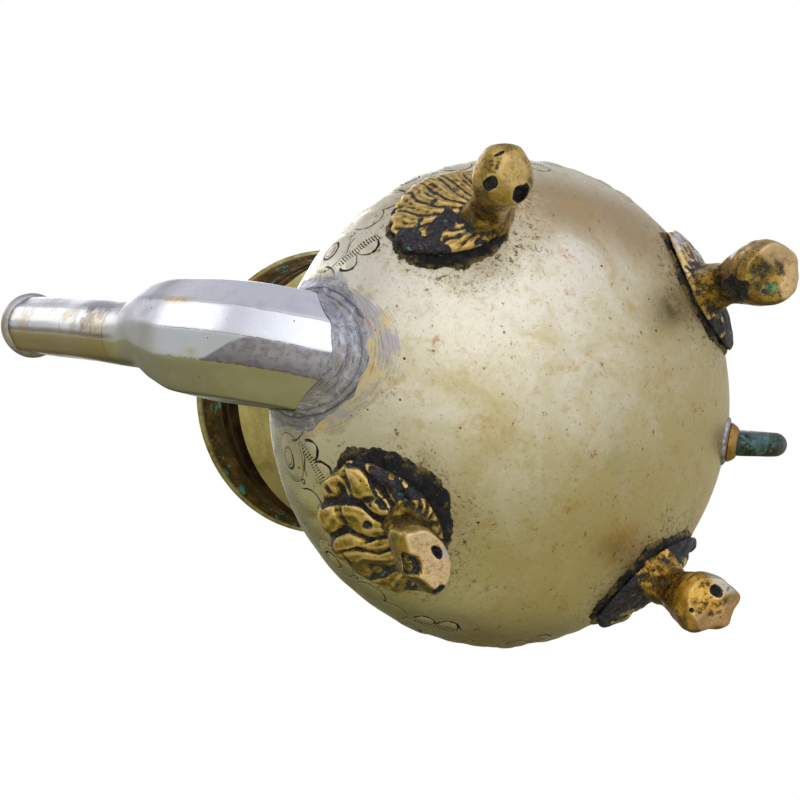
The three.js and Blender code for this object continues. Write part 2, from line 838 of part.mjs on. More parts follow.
// The feet are set by hand: the first and third stray from the others' places.
const footTurns = {
  front_left: footAzimuthDegrees + footStrayDegrees,
  back_left: 180 - footAzimuthDegrees,
  back_right: 180 + footAzimuthDegrees - footStrayDegrees,
  front_right: -footAzimuthDegrees,
};
for (const [name, degrees] of Object.entries(footTurns)) {
  const place = new THREE.Group();
  place.rotation.z = THREE.MathUtils.degToRad(degrees);
  addPiece(`foot_${name}`, footShape, castBrass, place);
  addPiece(`foot_solder_${name}`, bedShape, blackSolder, place);
  teapot.add(place);
}

// The handle strays a little to the pot's left from the line opposite the spout.
const handlePlace = new THREE.Group();
handlePlace.rotation.z = -THREE.MathUtils.degToRad(handleStrayDegrees);
addPiece('handle', handleGeometry(), patinated, handlePlace);
addPiece('handle_lower_collar', collarGeometry(handleRoot, handleNormal), collarBrass, handlePlace);
addPiece('handle_upper_collar', collarGeometry(handleTop, neckNormal), collarBrass, handlePlace);
addPiece('handle_solder', handleSolderGeometry(), solder, handlePlace);
teapot.add(handlePlace);

const washerBottom = domeTop + seatGap;
const washerTop = washerBottom + washerThickness;
const burrTop = domeTop - lidSheet - seatGap;
const stemBottom = burrTop - burrThickness - stemHeadDepth;
const lid = new THREE.Group();
addPiece('lid_dome', lidGeometry(), paleBrass, lid);
addPiece('lid_bezel', bezelGeometry(), neckBrass, lid);
addPiece('finial', finialGeometry(washerTop, stemBottom), castBrass, lid);
addPiece('finial_washer', washerGeometry(stemHoleRadius, washerRadius, washerBottom,
  washerThickness), castBrass, lid);
addPiece('finial_burr', washerGeometry(stemHoleRadius, burrRadius, burrTop - burrThickness,
  burrThickness), castBrass, lid);
addPiece('hinge_leaf', lidLeafGeometry(), castBrass, lid);
teapot.add(lid);

addPiece('hinge_bracket', bracketGeometry(), castBrass);
const pin = addPiece('hinge_pin', pinGeometry(), castBrass);
pin.position.set(hingeAxisX, 0, hingeAxisHeight);

export default teapot;
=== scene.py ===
# %% [markdown]
# A footed brass teapot, seen from below.
# The CAD part holds the true sizes. This lesson dresses it: each solid is replaced by a piece with
# the curves, casting marks, solder and worn tin of the real pot. All shapes are worked out in
# millimetres, the CAD part's unit, and turned into Blender's metres when a mesh is made.

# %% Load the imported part
import functools
import itertools
import math

import bpy
import numpy as np
from mathutils import Matrix, Vector


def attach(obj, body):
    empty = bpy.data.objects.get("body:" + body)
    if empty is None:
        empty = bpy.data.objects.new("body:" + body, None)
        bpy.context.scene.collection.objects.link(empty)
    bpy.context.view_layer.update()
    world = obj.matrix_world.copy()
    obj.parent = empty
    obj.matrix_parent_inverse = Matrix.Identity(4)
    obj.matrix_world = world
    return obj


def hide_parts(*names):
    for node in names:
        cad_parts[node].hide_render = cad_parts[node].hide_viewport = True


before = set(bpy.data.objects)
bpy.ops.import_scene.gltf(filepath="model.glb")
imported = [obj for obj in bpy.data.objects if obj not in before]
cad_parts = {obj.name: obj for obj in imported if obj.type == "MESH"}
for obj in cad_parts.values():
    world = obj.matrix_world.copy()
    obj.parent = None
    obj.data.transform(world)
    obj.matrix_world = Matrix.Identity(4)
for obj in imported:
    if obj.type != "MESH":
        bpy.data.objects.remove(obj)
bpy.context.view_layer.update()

MM = 0.001

# %% [markdown]
# The pot was raised from sheet over stakes, so its body is a solid of revolution with small waves.
# Two half ellipsoids that share the widest circle match it. Most other pieces sit on that surface,
# so the first helpers find points on it: straight out from the middle, or along a given direction.

# %% Sizes of the body, and points on its surface
BODY_RADIUS, EQUATOR, LOWER, UPPER, SHEET = 75.0, 61.5, 52.5, 57.0, 1.4
MOUTH_RADIUS, SHOULDER, NECK_TOP = 45.0, 107.1, 160.1


def body_halves(z, grow=0.0):
    """The height of the half ellipsoid that a point belongs to, grown by an offset."""
    return np.where(z < EQUATOR, LOWER, UPPER) + grow


def body_normals(points):
    half = body_halves(points[:, 2])
    normal = points - [0, 0, EQUATOR]
    normal[:, :2] /= BODY_RADIUS ** 2
    normal[:, 2] /= half ** 2
    return normal / np.linalg.norm(normal, axis=1, keepdims=True)


def onto_body(points, out=0.0):
    """Moves points straight from or to the body's middle onto its surface, then out by some mm."""
    shifted = np.asarray(points, float) - [0, 0, EQUATOR]
    half = body_halves(shifted[:, 2] + EQUATOR)
    scaled = shifted / np.column_stack([np.full(len(half), BODY_RADIUS)] * 2 + [half])
    shifted /= np.linalg.norm(scaled, axis=1, keepdims=True)
    surface = shifted + [0, 0, EQUATOR]
    return surface + body_normals(surface) * np.reshape(out, (-1, 1))


def body_inside(points, grow=0.0):
    """Below 1 inside the body, above 1 outside it."""
    half = body_halves(points[:, 2], grow)
    flat = (points[:, 0] ** 2 + points[:, 1] ** 2) / (BODY_RADIUS + grow) ** 2
    return flat + ((points[:, 2] - EQUATOR) / half) ** 2


print("the body's mouth in mm:", 2 * MOUTH_RADIUS)

# %% [markdown]
# Hand work is never quite regular. One smooth noise, made from a seeded table, gives every piece
# its small dents and ragged edges, and gives the same ones in each run.

# %% Smooth noise at points in millimetres
PRIMES = (73856093, 19349663, 83492791)
TABLE_SIZE = 4096


def rough(points, size, seed):
    """Noise from -1 to 1 with bumps about `size` mm across."""
    table = np.random.default_rng(seed).uniform(-1, 1, TABLE_SIZE)
    scaled = np.asarray(points, float) / size
    base = np.floor(scaled).astype(np.int64)
    part = scaled - base
    weight = part * part * (3 - 2 * part)
    total = np.zeros(len(scaled))
    for corner in itertools.product((0, 1), repeat=3):
        key = (base + corner) * PRIMES
        value = table[(key[:, 0] ^ key[:, 1] ^ key[:, 2]) % TABLE_SIZE]
        share = np.where(corner, weight, 1 - weight).prod(axis=1)
        total += share * value
    return total


def smooth_step(value, low, high):
    share = np.clip((value - low) / (high - low), 0, 1)
    return share * share * (3 - 2 * share)


print("noise sample:", rough([[1, 2, 3], [4, 5, 6]], 2.0, 1).round(3))

# %% [markdown]
# A skin is a list of rings of points joined by faces. It is closed by joining the last ring to the
# first, or by a fan over each end. A signed volume tells whether the faces point outwards.

# %% From rings of points to meshes and pieces


def closed_skin(rings, joined=False):
    """Vertices and faces of a closed skin through rings of equal length."""
    rings = np.asarray(rings, float)
    rows, count = rings.shape[:2]
    grid = np.arange(rows * count).reshape(rows, count)
    below = grid if joined else grid[:-1]
    above = np.roll(grid, -1, axis=0) if joined else grid[1:]
    quads = np.stack([below, np.roll(below, -1, 1), np.roll(above, -1, 1), above], -1)
    points, faces = rings.reshape(-1, 3), quads.reshape(-1, 4).tolist()
    if not joined:
        for row, order in ((0, -1), (rows - 1, 1)):
            centre = len(points)
            points = np.vstack([points, rings[row].mean(axis=0)])
            edge = list(grid[row])[::order]
            faces += [[a, b, centre] for a, b in zip(edge, edge[1:] + edge[:1])]
    return points, faces


def joined_shells(*shells):
    """Several closed skins as one list of vertices and faces."""
    points, faces = [], []
    for shell_points, shell_faces in shells:
        start = sum(len(group) for group in points)
        points.append(shell_points)
        faces += [[index + start for index in face] for face in shell_faces]
    return np.vstack(points), faces


def numbers(items, field, width=3, kind=float):
    """One field of a mesh's points, edges or triangles, as rows of numbers."""
    values = np.empty(len(items) * width, kind)
    items.foreach_get(field, values)
    return values.reshape(-1, width)


def outward(mesh):
    """Turns all faces round if the mesh, in total, is inside out."""
    mesh.calc_loop_triangles()
    corners = numbers(mesh.loop_triangles, "vertices", kind=int)
    a, b, c = numbers(mesh.vertices, "co")[corners].transpose(1, 0, 2)
    if np.einsum("ij,ij->", a, np.cross(b, c)) < 0:
        mesh.flip_normals()


def new_mesh(name, points, faces):
    mesh = bpy.data.meshes.new(name)
    mesh.from_pydata((np.asarray(points) * MM).tolist(), [], faces)
    mesh.update()
    outward(mesh)
    return mesh


def keep(mesh, name, values):
    """Stores one number per point, for a finish to read."""
    layer = mesh.attributes.new(name, "FLOAT", "POINT")
    layer.data.foreach_set("value", np.asarray(values, np.float32))


def linked(name, data):
    """A new object in the scene."""
    item = bpy.data.objects.new(name, data)
    bpy.context.collection.objects.link(item)
    return item


def applied(item, *tools):
    """The mesh that an object's modifiers make. The object and its tools are removed."""
    graph = bpy.context.evaluated_depsgraph_get()
    mesh = bpy.data.meshes.new_from_object(item.evaluated_get(graph), depsgraph=graph)
    for used in (item, *tools):
        bpy.data.objects.remove(used)
    return mesh


def place(name, mesh, finish, slot, *nodes, body="pot", sharp=40):
    """Makes a mesh a finished piece: it rides on a body and stands for CAD nodes."""
    piece = linked(name, mesh)
    mesh.materials.clear()
    mesh.materials.append(finish)
    mesh.shade_smooth()
    mesh.set_sharp_from_angle(angle=math.radians(sharp))
    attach(piece, body)
    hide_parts(*nodes)
    print(f"{name}: {sum(len(f.vertices) - 2 for f in mesh.polygons)} triangles")


def spline(points, steps):
    """A smooth line through points, with `steps` points to each stretch."""
    points = np.asarray(points, float)
    padded = np.vstack([2 * points[0] - points[1], points, 2 * points[-1] - points[-2]])
    line = []
    for p0, p1, p2, p3 in zip(padded, padded[1:], padded[2:], padded[3:]):
        for step in range(steps):
            t = step / steps
            line.append(0.5 * (2 * p1 + (p2 - p0) * t + (2 * p0 - 5 * p1 + 4 * p2 - p3) * t * t
                               + (3 * p1 - p0 - 3 * p2 + p3) * t ** 3))
    return np.vstack([line, points[-1]])

# %% [markdown]
# Materials and Geometry Nodes are both trees of nodes. One helper adds a node, sets its fields and
# feeds its inputs. A feed is a plain value, a colour's code, a socket, or a node whose first output
# is meant.

# %% Adding a node


def colour(code):
    """The linear colour of a six-figure hexadecimal code."""
    shares = [int(code[i:i + 2], 16) / 255 for i in (0, 2, 4)]
    linear = [s / 12.92 if s <= 0.04045 else ((s + 0.055) / 1.055) ** 2.4 for s in shares]
    return (*linear, 1.0)


def put(tree, kind, feeds=None, **settings):
    node = tree.nodes.new(kind)
    for field, value in settings.items():
        setattr(node, field, value)
    for name, value in (feeds or {}).items():
        if isinstance(value, str):
            value = colour(value)
        elif isinstance(value, bpy.types.Node):
            value = value.outputs[0]
        value = getattr(value, "socket", value)
        if isinstance(value, bpy.types.NodeSocket):
            tree.links.new(value, node.inputs[name])
        else:
            node.inputs[name].default_value = value
    return node


def vectors(tree, kind, *values, **named):
    feeds = {**dict(enumerate(values)), **named}
    return put(tree, "ShaderNodeVectorMath", feeds, operation=kind)


def blend(tree, amount, first, second):
    """A colour that goes from the first to the second as the amount goes from 0 to 1."""
    feeds = {0: amount, 6: first, 7: second}
    return put(tree, "ShaderNodeMix", feeds, data_type="RGBA").outputs[2]


print("a worn brass in linear colour:", [round(c, 3) for c in colour("b3ae86")])

# %% [markdown]
# A finish is a metal whose colour, roughness and relief change over the surface. Its patterns are
# read in millimetres from Object coordinates, so they stay on the metal in any view. Wire holds one
# number per point of the surface, and adding or multiplying wires adds Math nodes to the tree.

# %% A small language for finishes


class Wire:
    def __init__(self, tree, source):
        self.tree = tree
        self.socket = source.outputs[0] if isinstance(source, bpy.types.Node) else source

    def math(self, kind, *others, flipped=False):
        feeds = (self, *others)
        feeds = dict(enumerate(reversed(feeds) if flipped else feeds))
        return Wire(self.tree, put(self.tree, "ShaderNodeMath", feeds, operation=kind))

    def __add__(self, other):
        return self.math("ADD", other)

    def __mul__(self, other):
        return self.math("MULTIPLY", other)

    def __sub__(self, other):
        return self.math("SUBTRACT", other)

    def __rsub__(self, other):
        return self.math("SUBTRACT", other, flipped=True)

    __radd__, __rmul__ = __add__, __mul__

    def absolute(self):
        return self.math("ABSOLUTE")

    def repeated(self, width):
        """Goes from minus to plus half a width, over and over."""
        return ((self * (1 / width) + 0.5).math("FRACT") - 0.5) * width

    def rise(self, low, high, bottom=0.0, top=1.0):
        """Goes smoothly from bottom to top while this wire goes from low to high."""
        feeds = {0: self, 1: low, 2: high, 3: bottom, 4: top}
        return Wire(self.tree, put(self.tree, "ShaderNodeMapRange", feeds,
                                   interpolation_type="SMOOTHSTEP"))

    def fall(self, low, high):
        return self.rise(low, high, 1.0, 0.0)

    def ridge(self, centre, half, soft):
        """1 where this wire is within half of a value, 0 away from it."""
        return (self - centre).absolute().fall(half - soft, half + soft)


def highest(*wires):
    return functools.reduce(lambda a, b: a.math("MAXIMUM", b), wires)


def lowest(*wires):
    return functools.reduce(lambda a, b: a.math("MINIMUM", b), wires)


class Finish:
    def __init__(self, name):
        self.material = bpy.data.materials.new(name)
        self.material.use_nodes = True
        self.tree = self.material.node_tree
        self.tree.nodes.clear()
        where = put(self.tree, "ShaderNodeTexCoord").outputs["Object"]
        self.point = vectors(self.tree, "SCALE", where, Scale=1 / MM)
        split = put(self.tree, "ShaderNodeSeparateXYZ", {0: self.point})
        self.x, self.y, self.z = [Wire(self.tree, socket) for socket in split.outputs]

    def pattern(self, kind, size, seed, stretch, **feeds):
        moved = put(self.tree, "ShaderNodeMapping", {"Vector": self.point, "Scale": stretch,
                    "Location": (seed * 17.3, seed * 5.9, seed * -11.1)})
        return put(self.tree, kind, {"Vector": moved, "Scale": 1 / size, **feeds})

    def noise(self, size, seed=0, detail=3.0, crisp=0.5, stretch=(1, 1, 1), warp=0.0):
        """Cloudy noise from about 0.25 to 0.75, with clouds about `size` mm across."""
        return Wire(self.tree, self.pattern("ShaderNodeTexNoise", size, seed, stretch,
                                            Detail=detail, Roughness=crisp, Distortion=warp))

    def spots(self, size, seed=0):
        """The distance to the nearest of many scattered points, as a share of their spacing."""
        scattered = self.pattern("ShaderNodeTexVoronoi", size, seed, (1, 1, 1))
        return Wire(self.tree, scattered.outputs["Distance"])

    def near(self, place_mm):
        """The distance in mm from a place on the pot."""
        node = vectors(self.tree, "DISTANCE", self.point, place_mm)
        return Wire(self.tree, node.outputs["Value"])

    def own(self, attribute):
        node = put(self.tree, "ShaderNodeAttribute", attribute_name=attribute)
        return Wire(self.tree, node.outputs["Fac"])

    def mix(self, amount, first, second):
        return blend(self.tree, amount, first, second)

    def paint(self, amount, tone):
        """Lays a tone over the base colour as far as the amount goes from 0 to 1."""
        self.base = self.mix(amount, self.base, tone)

    def done(self, roughness, height, metal=1.0):
        """Feeds the shader. The height is in mm."""
        bump = put(self.tree, "ShaderNodeBump", {"Height": height, "Distance": MM})
        shader = put(self.tree, "ShaderNodeBsdfPrincipled", {"Base Color": self.base,
                     "Roughness": roughness, "Metallic": metal, "Normal": bump})
        put(self.tree, "ShaderNodeOutputMaterial", {0: shader})
        return self.material


print("patterns are read at", 1 / MM, "mm to a metre")

# %% [markdown]
# Body finish: brass that was tinned outside, and polished until brass shows through in clouds. The
# tin is whiter towards the spout. Near the feet the flux left rings of brown and grey specks, and
# the whole surface has small dark pits, orange spots and fine scratches. Light is painted in too: a
# tan reflection along the top, an olive reflection on the lower side and a shadow under the spout.

# %% Where the feet stand, and the body's finish
FOOT_TURNS = {"front_left": 48.6, "back_left": 133.2, "back_right": 225.0, "front_right": -46.8}
PLATE_R, PLATE_Z = 63.0, 33.0


def foot_place(turn):
    angle = math.radians(turn)
    return (PLATE_R * math.cos(angle), PLATE_R * math.sin(angle), PLATE_Z)


def length(a, b):
    return (a * a + b * b).math("SQRT")


# The frieze: sprays of one width each, their rows, borders, petals, medallions and lobes, in mm.
SPRAYS = 14
CELL = 2 * math.pi * BODY_RADIUS / SPRAYS
FRIEZE_LOW, FRIEZE_HIGH, FRIEZE_EDGE, ROOT_CENTRE_Z = 38, 84, 8, 53.0
ROW_SLOPE, ROW_Z, BORDER_Z, BORDER_GAP = 0.45, 47.7, 70.5, 1.6
PETALS, MEDAL, LOBES = [(-4.2, 48.4, 3.1), (2.8, 46.0, 3.6)], (2.0, 58.0), (4.5, 54.5, 5.0)
MEDAL_HALF = (7.4, 6.0)


def chased_lines(f):
    """The frieze's cut lines, from 0 to 1. 14 sprays, mirrored about the spout, with hatched rows,
    petals under them, medallions over them and pairs of lobes between them."""
    side = f.y.math("ARCTAN2", f.x).absolute() * BODY_RADIUS + f.noise(6, 31) * 1.4 - 0.7
    z = f.z + f.noise(5, 32) - 0.5
    a = side.repeated(CELL)
    h = (side - CELL / 2).repeated(CELL).absolute()
    under = z + a * ROW_SLOPE - ROW_Z
    thick = f.noise(3, 35).rise(0.35, 0.65, 0.12, 0.42)
    arcs = [((length(a - across, z - up) - size).absolute() - thick).fall(-0.1, 0.1)
            for across, up, size in PETALS]
    petals = highest(*arcs) * under.fall(-1.3, -0.7)
    bars = (a - z * ROW_SLOPE).repeated(0.95).absolute().fall(0.15, 0.27)
    rows = under.absolute().fall(1.25, 1.45) * under.absolute().rise(0.1, 0.2)
    bars = bars * rows * (a - 0.5).absolute().fall(6.4, 6.8)
    comma = (z - ROW_Z - 3.9 - (a * 0.6).math("SINE") * 0.7).ridge(0, 0.2, 0.12)
    comma = comma * a.absolute().fall(3.6, 4.2)
    dot = length(a - 5.2, z - ROW_Z - 6.6).ridge(0.7, 0.2, 0.1)
    ring = length((a + MEDAL[0]) * (1 / MEDAL_HALF[0]), (z - MEDAL[1]) * (1 / MEDAL_HALF[1]))
    medal = highest(ring.ridge(1.0, 0.022, 0.014) * 0.6, ring.ridge(0.42, 0.05, 0.02),
                    ring.ridge(0.27, 0.02, 0.014) * 0.7)
    lobe = length(h - LOBES[0], z - LOBES[1])
    lobes = lobe.ridge(LOBES[2], 0.22, 0.14) * (z - LOBES[1]).fall(0.5, 2.0)
    dots = f.spots(1.7, 33).fall(0.12, 0.2) * z.ridge(LOBES[1] + 8.0, 2.5, 0.8)
    dots = dots * lobe.rise(LOBES[2] + 0.5, LOBES[2] + 1.0) * ring.rise(1.05, 1.15)
    borders = [z.ridge(BORDER_Z + gap, 0.22, 0.1) for gap in (0, BORDER_GAP)]
    worn = f.noise(8, 34, 4, 0.6).rise(0.36, 0.5, 0.45, 1.0)
    return highest(petals, bars, comma, dot, medal, lobes, dots, *borders) * worn


def root_wipes(f):
    """The distance from the spout's root in mm, and noise drawn out along circles round it."""
    down = f.z - ROOT_CENTRE_Z
    ring, turn = length(f.y, down * 0.9) - 18.0, down.math("ARCTAN2", f.y)
    strokes = []
    for size, seed in ((0.9, 1), (0.3, 2)):
        where = put(f.tree, "ShaderNodeCombineXYZ", {0: ring * (1 / size), 1: turn * 2.6,
                    2: seed * 3.7})
        strokes.append(Wire(f.tree, put(f.tree, "ShaderNodeTexNoise", {"Vector": where,
                       "Scale": 1.0, "Detail": 4.0, "Roughness": 0.6, "Distortion": 0.2})))
    return ring, strokes[0] * 0.5 + strokes[1] * 0.5


def worn_tin(name):
    f = Finish(name)
    clouds = f.noise(30, 1, 5, 0.6, warp=0.8)
    fine = f.noise(2.6, 2, 6, 0.7)
    toward_spout = f.x * 0.0045 + f.y * 0.0015
    bare = (clouds - toward_spout + fine * 0.3).rise(0.36, 0.86)
    f.base = f.mix(bare, "dcd7c8", "c5b78a")
    # Painted reflection: a darker tan band along the top stands for brown surroundings reflected in
    # the metal.
    painted_tan_reflection = (f.y + clouds * 36).rise(55, 74) * (f.y + f.z).fall(92, 118)
    f.paint(painted_tan_reflection * 0.95, "ad9774")
    # Painted reflection: the lower side towards the spout is tinted olive, paler further down, for
    # the ground reflected in the metal.
    olive = f.mix(f.y.rise(-60, -38), "d6d196", "b2ae7c")
    f.paint(f.x.rise(5, 40) * f.y.fall(-50, -18) * 0.7, olive)
    shadow = f.x.rise(48, 60) * f.y.rise(-12, -22) * f.y.rise(-38, -26) * f.z.rise(44, 52)
    f.paint(shadow * (clouds + fine * 0.4).rise(0.5, 0.75, 0.3, 0.75), "8d8c78")
    f.paint(f.noise(8, 3, 6, 0.75, warp=0.5).rise(0.52, 0.7, 0.0, 0.6), "c0a062")
    f.paint(f.noise(17, 12, 5, 0.7).rise(0.56, 0.72, 0.0, 0.35), "a3a58e")
    f.paint(f.noise(1.1, 4, 3, 0.6).rise(0.58, 0.72, 0.0, 0.45), "8a7c58")

    ring, stroke = root_wipes(f)
    ragged = (stroke - 0.5) * 9 + (f.noise(7, 13, 4) - 0.5) * 9
    smear = (ring + ragged).fall(4.8, 6.8) * f.x.rise(20, 40)
    grey = f.mix(f.noise(9, 18, 4, 0.7).rise(0.45, 0.6), "b6b4bd", "d8c9a0")
    grey = f.mix(stroke.rise(0.54, 0.6, 0.0, 0.7), grey, "b48a64")
    grey = f.mix(stroke.rise(0.42, 0.46, 0.6, 0.0), grey, "77727c")
    f.paint(smear * stroke.rise(0.36, 0.5, 0.5, 0.95), grey)

    halo = lowest(*[f.near(foot_place(turn)) for turn in FOOT_TURNS.values()])
    crust = (halo + f.noise(5, 5, 4, 0.7) * 26).fall(32, 43)
    f.paint(crust * f.noise(2.4, 14, 5, 0.7).rise(0.4, 0.6, 0.1, 0.75), "cdc3a4")
    speck = f.noise(1.3, 6, 6, 0.8, warp=0.6).rise(0.52, 0.6)
    f.paint(crust * speck * 0.75, "7c6238")
    speck = crust * speck * f.noise(4, 17, 4, 0.7).rise(0.5, 0.6)
    f.paint(speck, "3f3424")
    pits = f.spots(4.6, 7).fall(0.05, 0.11) * f.noise(12, 8).rise(0.48, 0.6)
    f.paint(pits, "3a2a1c")
    f.paint(f.noise(3.4, 15, 5, 0.75, stretch=(1.6, 1, 0.7)).rise(0.62, 0.68, 0.0, 0.8), "75582a")
    rust = f.spots(15, 9).fall(0.06, 0.15) * f.noise(1.3, 19, 5, 0.8).rise(0.48, 0.58)
    f.paint(rust * 0.7, "b06a42")

    cut_lines = chased_lines(f) * (1.0 - smear * 0.85)
    f.paint(cut_lines, "2c2820")
    scratch = f.noise(1.6, 10, 3, 0.5, stretch=(5, 1, 0.3)).rise(0.56, 0.68)
    hair = f.noise(1.0, 16, 2, 0.5, stretch=(0.25, 6, 2)).rise(0.6, 0.7)
    roughness = bare * 0.08 + fine * 0.26 + crust * 0.2 + smear * 0.12 + scratch * 0.07 + 0.17
    height = f.noise(11, 11, 3) * 0.2 + fine * 0.05 - pits * 0.14 - (scratch + hair) * 0.012
    height = height + speck * 0.07 - cut_lines * 0.35 + smear * stroke * 0.25
    return f.done(roughness, height)


BODY_FINISH = worn_tin("pale_brass")
print("body finish:", len(BODY_FINISH.node_tree.nodes), "nodes")

# %% [markdown]
# The body is a thin shell: an outside grid, an inside grid and the mouth's edge between them. The
# chased frieze under the widest circle swells a little, and shallow waves from the raising hammer
# run all over, so the reflections wander as they do on the real pot.

# %% The raised body
AROUND = 460


def meridian(grow, rows):
    """Radius and height from the bottom of the body up to its mouth."""
    radius = BODY_RADIUS + grow
    low = np.linspace(-np.pi / 2, 0, rows)[1:]
    high = np.linspace(0, math.acos(MOUTH_RADIUS / radius), rows)[1:]
    arcs = [(low, LOWER + grow), (high, UPPER + grow)]
    return np.vstack([np.column_stack([radius * np.cos(a), EQUATOR + half * np.sin(a)])
                      for a, half in arcs])


def round_rings(profile, around):
    angles = np.arange(around) * 2 * np.pi / around
    ring = np.column_stack([np.cos(angles), np.sin(angles)])
    return np.array([np.column_stack([ring * r, np.full(around, z)]) for r, z in profile])


def repeated(value, width):
    return ((value / width + 0.5) % 1 - 0.5) * width


def relief(points):
    """How far the worked surface stands out from the plain body, in mm, at points on it."""
    z = points[:, 2]
    frieze = smooth_step(z, FRIEZE_LOW, FRIEZE_LOW + FRIEZE_EDGE)
    frieze *= smooth_step(z, FRIEZE_HIGH, FRIEZE_HIGH - FRIEZE_EDGE)
    from_root = np.hypot(points[:, 1], z - ROOT_CENTRE_Z) + (points[:, 0] < 0) * 99
    frieze *= smooth_step(from_root, 20, 26)
    side = np.abs(np.arctan2(points[:, 1], points[:, 0])) * BODY_RADIUS
    a, h = repeated(side, CELL), np.abs(repeated(side - CELL / 2, CELL))
    petals = sum(smooth_step(np.hypot(a - x, z - up), size, size * 0.6) for x, up, size in PETALS)
    ring = np.hypot((a + MEDAL[0]) / MEDAL_HALF[0], (z - MEDAL[1]) / MEDAL_HALF[1])
    lobe = np.hypot(h - LOBES[0], (z - LOBES[1]) * np.where(z > LOBES[1], 0.6, 1))
    depth = 0.10 * rough(points, 11, 21) + 0.16 * rough(points, 24, 22) - 0.12
    raised = 0.35 * petals + 0.45 * smooth_step(ring, 1.0, 0.7) + 0.3 * smooth_step(ring, 0.4, 0.2)
    raised += 0.35 * smooth_step(lobe, LOBES[2], LOBES[2] * 0.35)
    return depth + frieze * (0.2 * rough(points, 5, 23) + raised)


waves = round_rings(meridian(0, 76), AROUND)
inside = round_rings(meridian(-SHEET, 12), AROUND)[::-1]
flat_waves = waves.reshape(-1, 3)
outside = flat_waves + body_normals(flat_waves) * relief(flat_waves)[:, None]
outside[:, 1] = np.clip(outside[:, 1], -BODY_RADIUS, BODY_RADIUS)
body_mesh = new_mesh("raised_body", *closed_skin([*outside.reshape(waves.shape), *inside]))

# %% [markdown]
# Inside the spout's root the wall has seven strainer holes, one in the middle of a ring of six.
# They are cut with a Boolean modifier, whose result is kept as a plain mesh.

# %% Strainer holes


def cut(mesh, cutter, name):
    """The mesh less the cutter, both plain meshes."""
    target, tool = linked(name, mesh), linked("tool", cutter)
    modifier = target.modifiers.new("cut", "BOOLEAN")
    modifier.operation, modifier.object, modifier.solver = "DIFFERENCE", tool, "EXACT"
    return applied(target, tool)


def full_turn(count):
    """The angles of a full turn in equal steps."""
    return np.linspace(0, 2 * np.pi, count, endpoint=False)


ROOT_Z, HOLE_RADIUS, HOLE_RING, HOLE_SIDES, BORE_ENDS = 53.5, 2.3, 8.5, 24, (66, 80)
angles = full_turn(HOLE_SIDES)
bores = []
for number in range(7):
    turn = number * np.pi / 3
    reach = HOLE_RING if number else 0
    y = reach * math.cos(turn) + HOLE_RADIUS * np.cos(angles)
    z = ROOT_Z + reach * math.sin(turn) + HOLE_RADIUS * np.sin(angles)
    bores.append(closed_skin([np.column_stack([np.full(HOLE_SIDES, x), y, z]) for x in BORE_ENDS]))
body_mesh = cut(body_mesh, new_mesh("strainer_bores", *joined_shells(*bores)), "raised_body")
place("raised_body", body_mesh, BODY_FINISH, "pale_brass", "body")

# %% [markdown]
# The neck, band, rim, lid, collars and finial were trued on a lathe. A Geometry Nodes tree does
# the same: it takes a profile of radius and height, copies it round a grid, and merges the seam and
# the points on the axis. Wobble gives the slight waves of thin sheet.

# %% A lathe in Geometry Nodes


WAVE_SCALE, DENT_SCALE, SEAM_MERGE = 60.0, 90.0, 2e-6


def new_tree(name, result, **inputs):
    """A Geometry Nodes tree with named inputs and one named output."""
    tree = bpy.data.node_groups.new(name, "GeometryNodeTree")
    tree.is_modifier = True
    for label, kind in inputs.items():
        tree.interface.new_socket(label, in_out="INPUT", socket_type="NodeSocket" + kind)
    tree.interface.new_socket(result, in_out="OUTPUT", socket_type="NodeSocketGeometry")
    return tree, put(tree, "NodeGroupInput").outputs


def end_tree(tree, geometry, given):
    real = put(tree, "GeometryNodeRealizeInstances", {0: geometry})
    coated = put(tree, "GeometryNodeSetMaterial", {"Geometry": real, "Material": given["Material"]})
    put(tree, "NodeGroupOutput", {0: coated})
    print(tree.name, "tree:", len(tree.nodes), "nodes")
    return tree


def lathe_tree():
    tree, given = new_tree("lathe", "Turned", Profile="Geometry", Segments="Int", Wobble="Float",
                           Seed="Int", Material="Material")
    segments = Wire(tree, given["Segments"])
    rows = put(tree, "GeometryNodeAttributeDomainSize", {0: given["Profile"]})
    grid = put(tree, "GeometryNodeMeshGrid", {"Vertices X": segments + 1.0, "Vertices Y": rows})
    index = Wire(tree, put(tree, "GeometryNodeInputIndex"))
    column = index.math("DIVIDE", rows).math("FLOOR")
    where = put(tree, "GeometryNodeInputPosition")
    sample = put(tree, "GeometryNodeSampleIndex", {"Geometry": given["Profile"], "Value": where,
                 "Index": index - column * rows}, data_type="FLOAT_VECTOR")
    radius, _, height = put(tree, "ShaderNodeSeparateXYZ", {0: sample}).outputs
    angle = (column.math("MODULO", segments) * (2 * math.pi)).math("DIVIDE", segments)
    flat_x, flat_y = [Wire(tree, radius) * angle.math(kind) for kind in ("COSINE", "SINE")]
    turned = put(tree, "ShaderNodeCombineXYZ", {0: flat_x, 1: flat_y, 2: height})
    waves_node = put(tree, "ShaderNodeTexNoise", {"Vector": turned, "W": given["Seed"],
                     "Scale": WAVE_SCALE, "Detail": 2.0}, noise_dimensions="4D")
    swell = (Wire(tree, waves_node) - 0.5) * given["Wobble"]
    away = vectors(tree, "NORMALIZE", vectors(tree, "MULTIPLY", turned, (1.0, 1.0, 0.0)))
    final = vectors(tree, "ADD", turned, vectors(tree, "SCALE", away, Scale=swell))
    moved = put(tree, "GeometryNodeSetPosition", {"Geometry": grid, "Position": final})
    merged = put(tree, "GeometryNodeMergeByDistance", {"Geometry": moved,
                 "Distance": SEAM_MERGE})
    return end_tree(tree, merged, given)


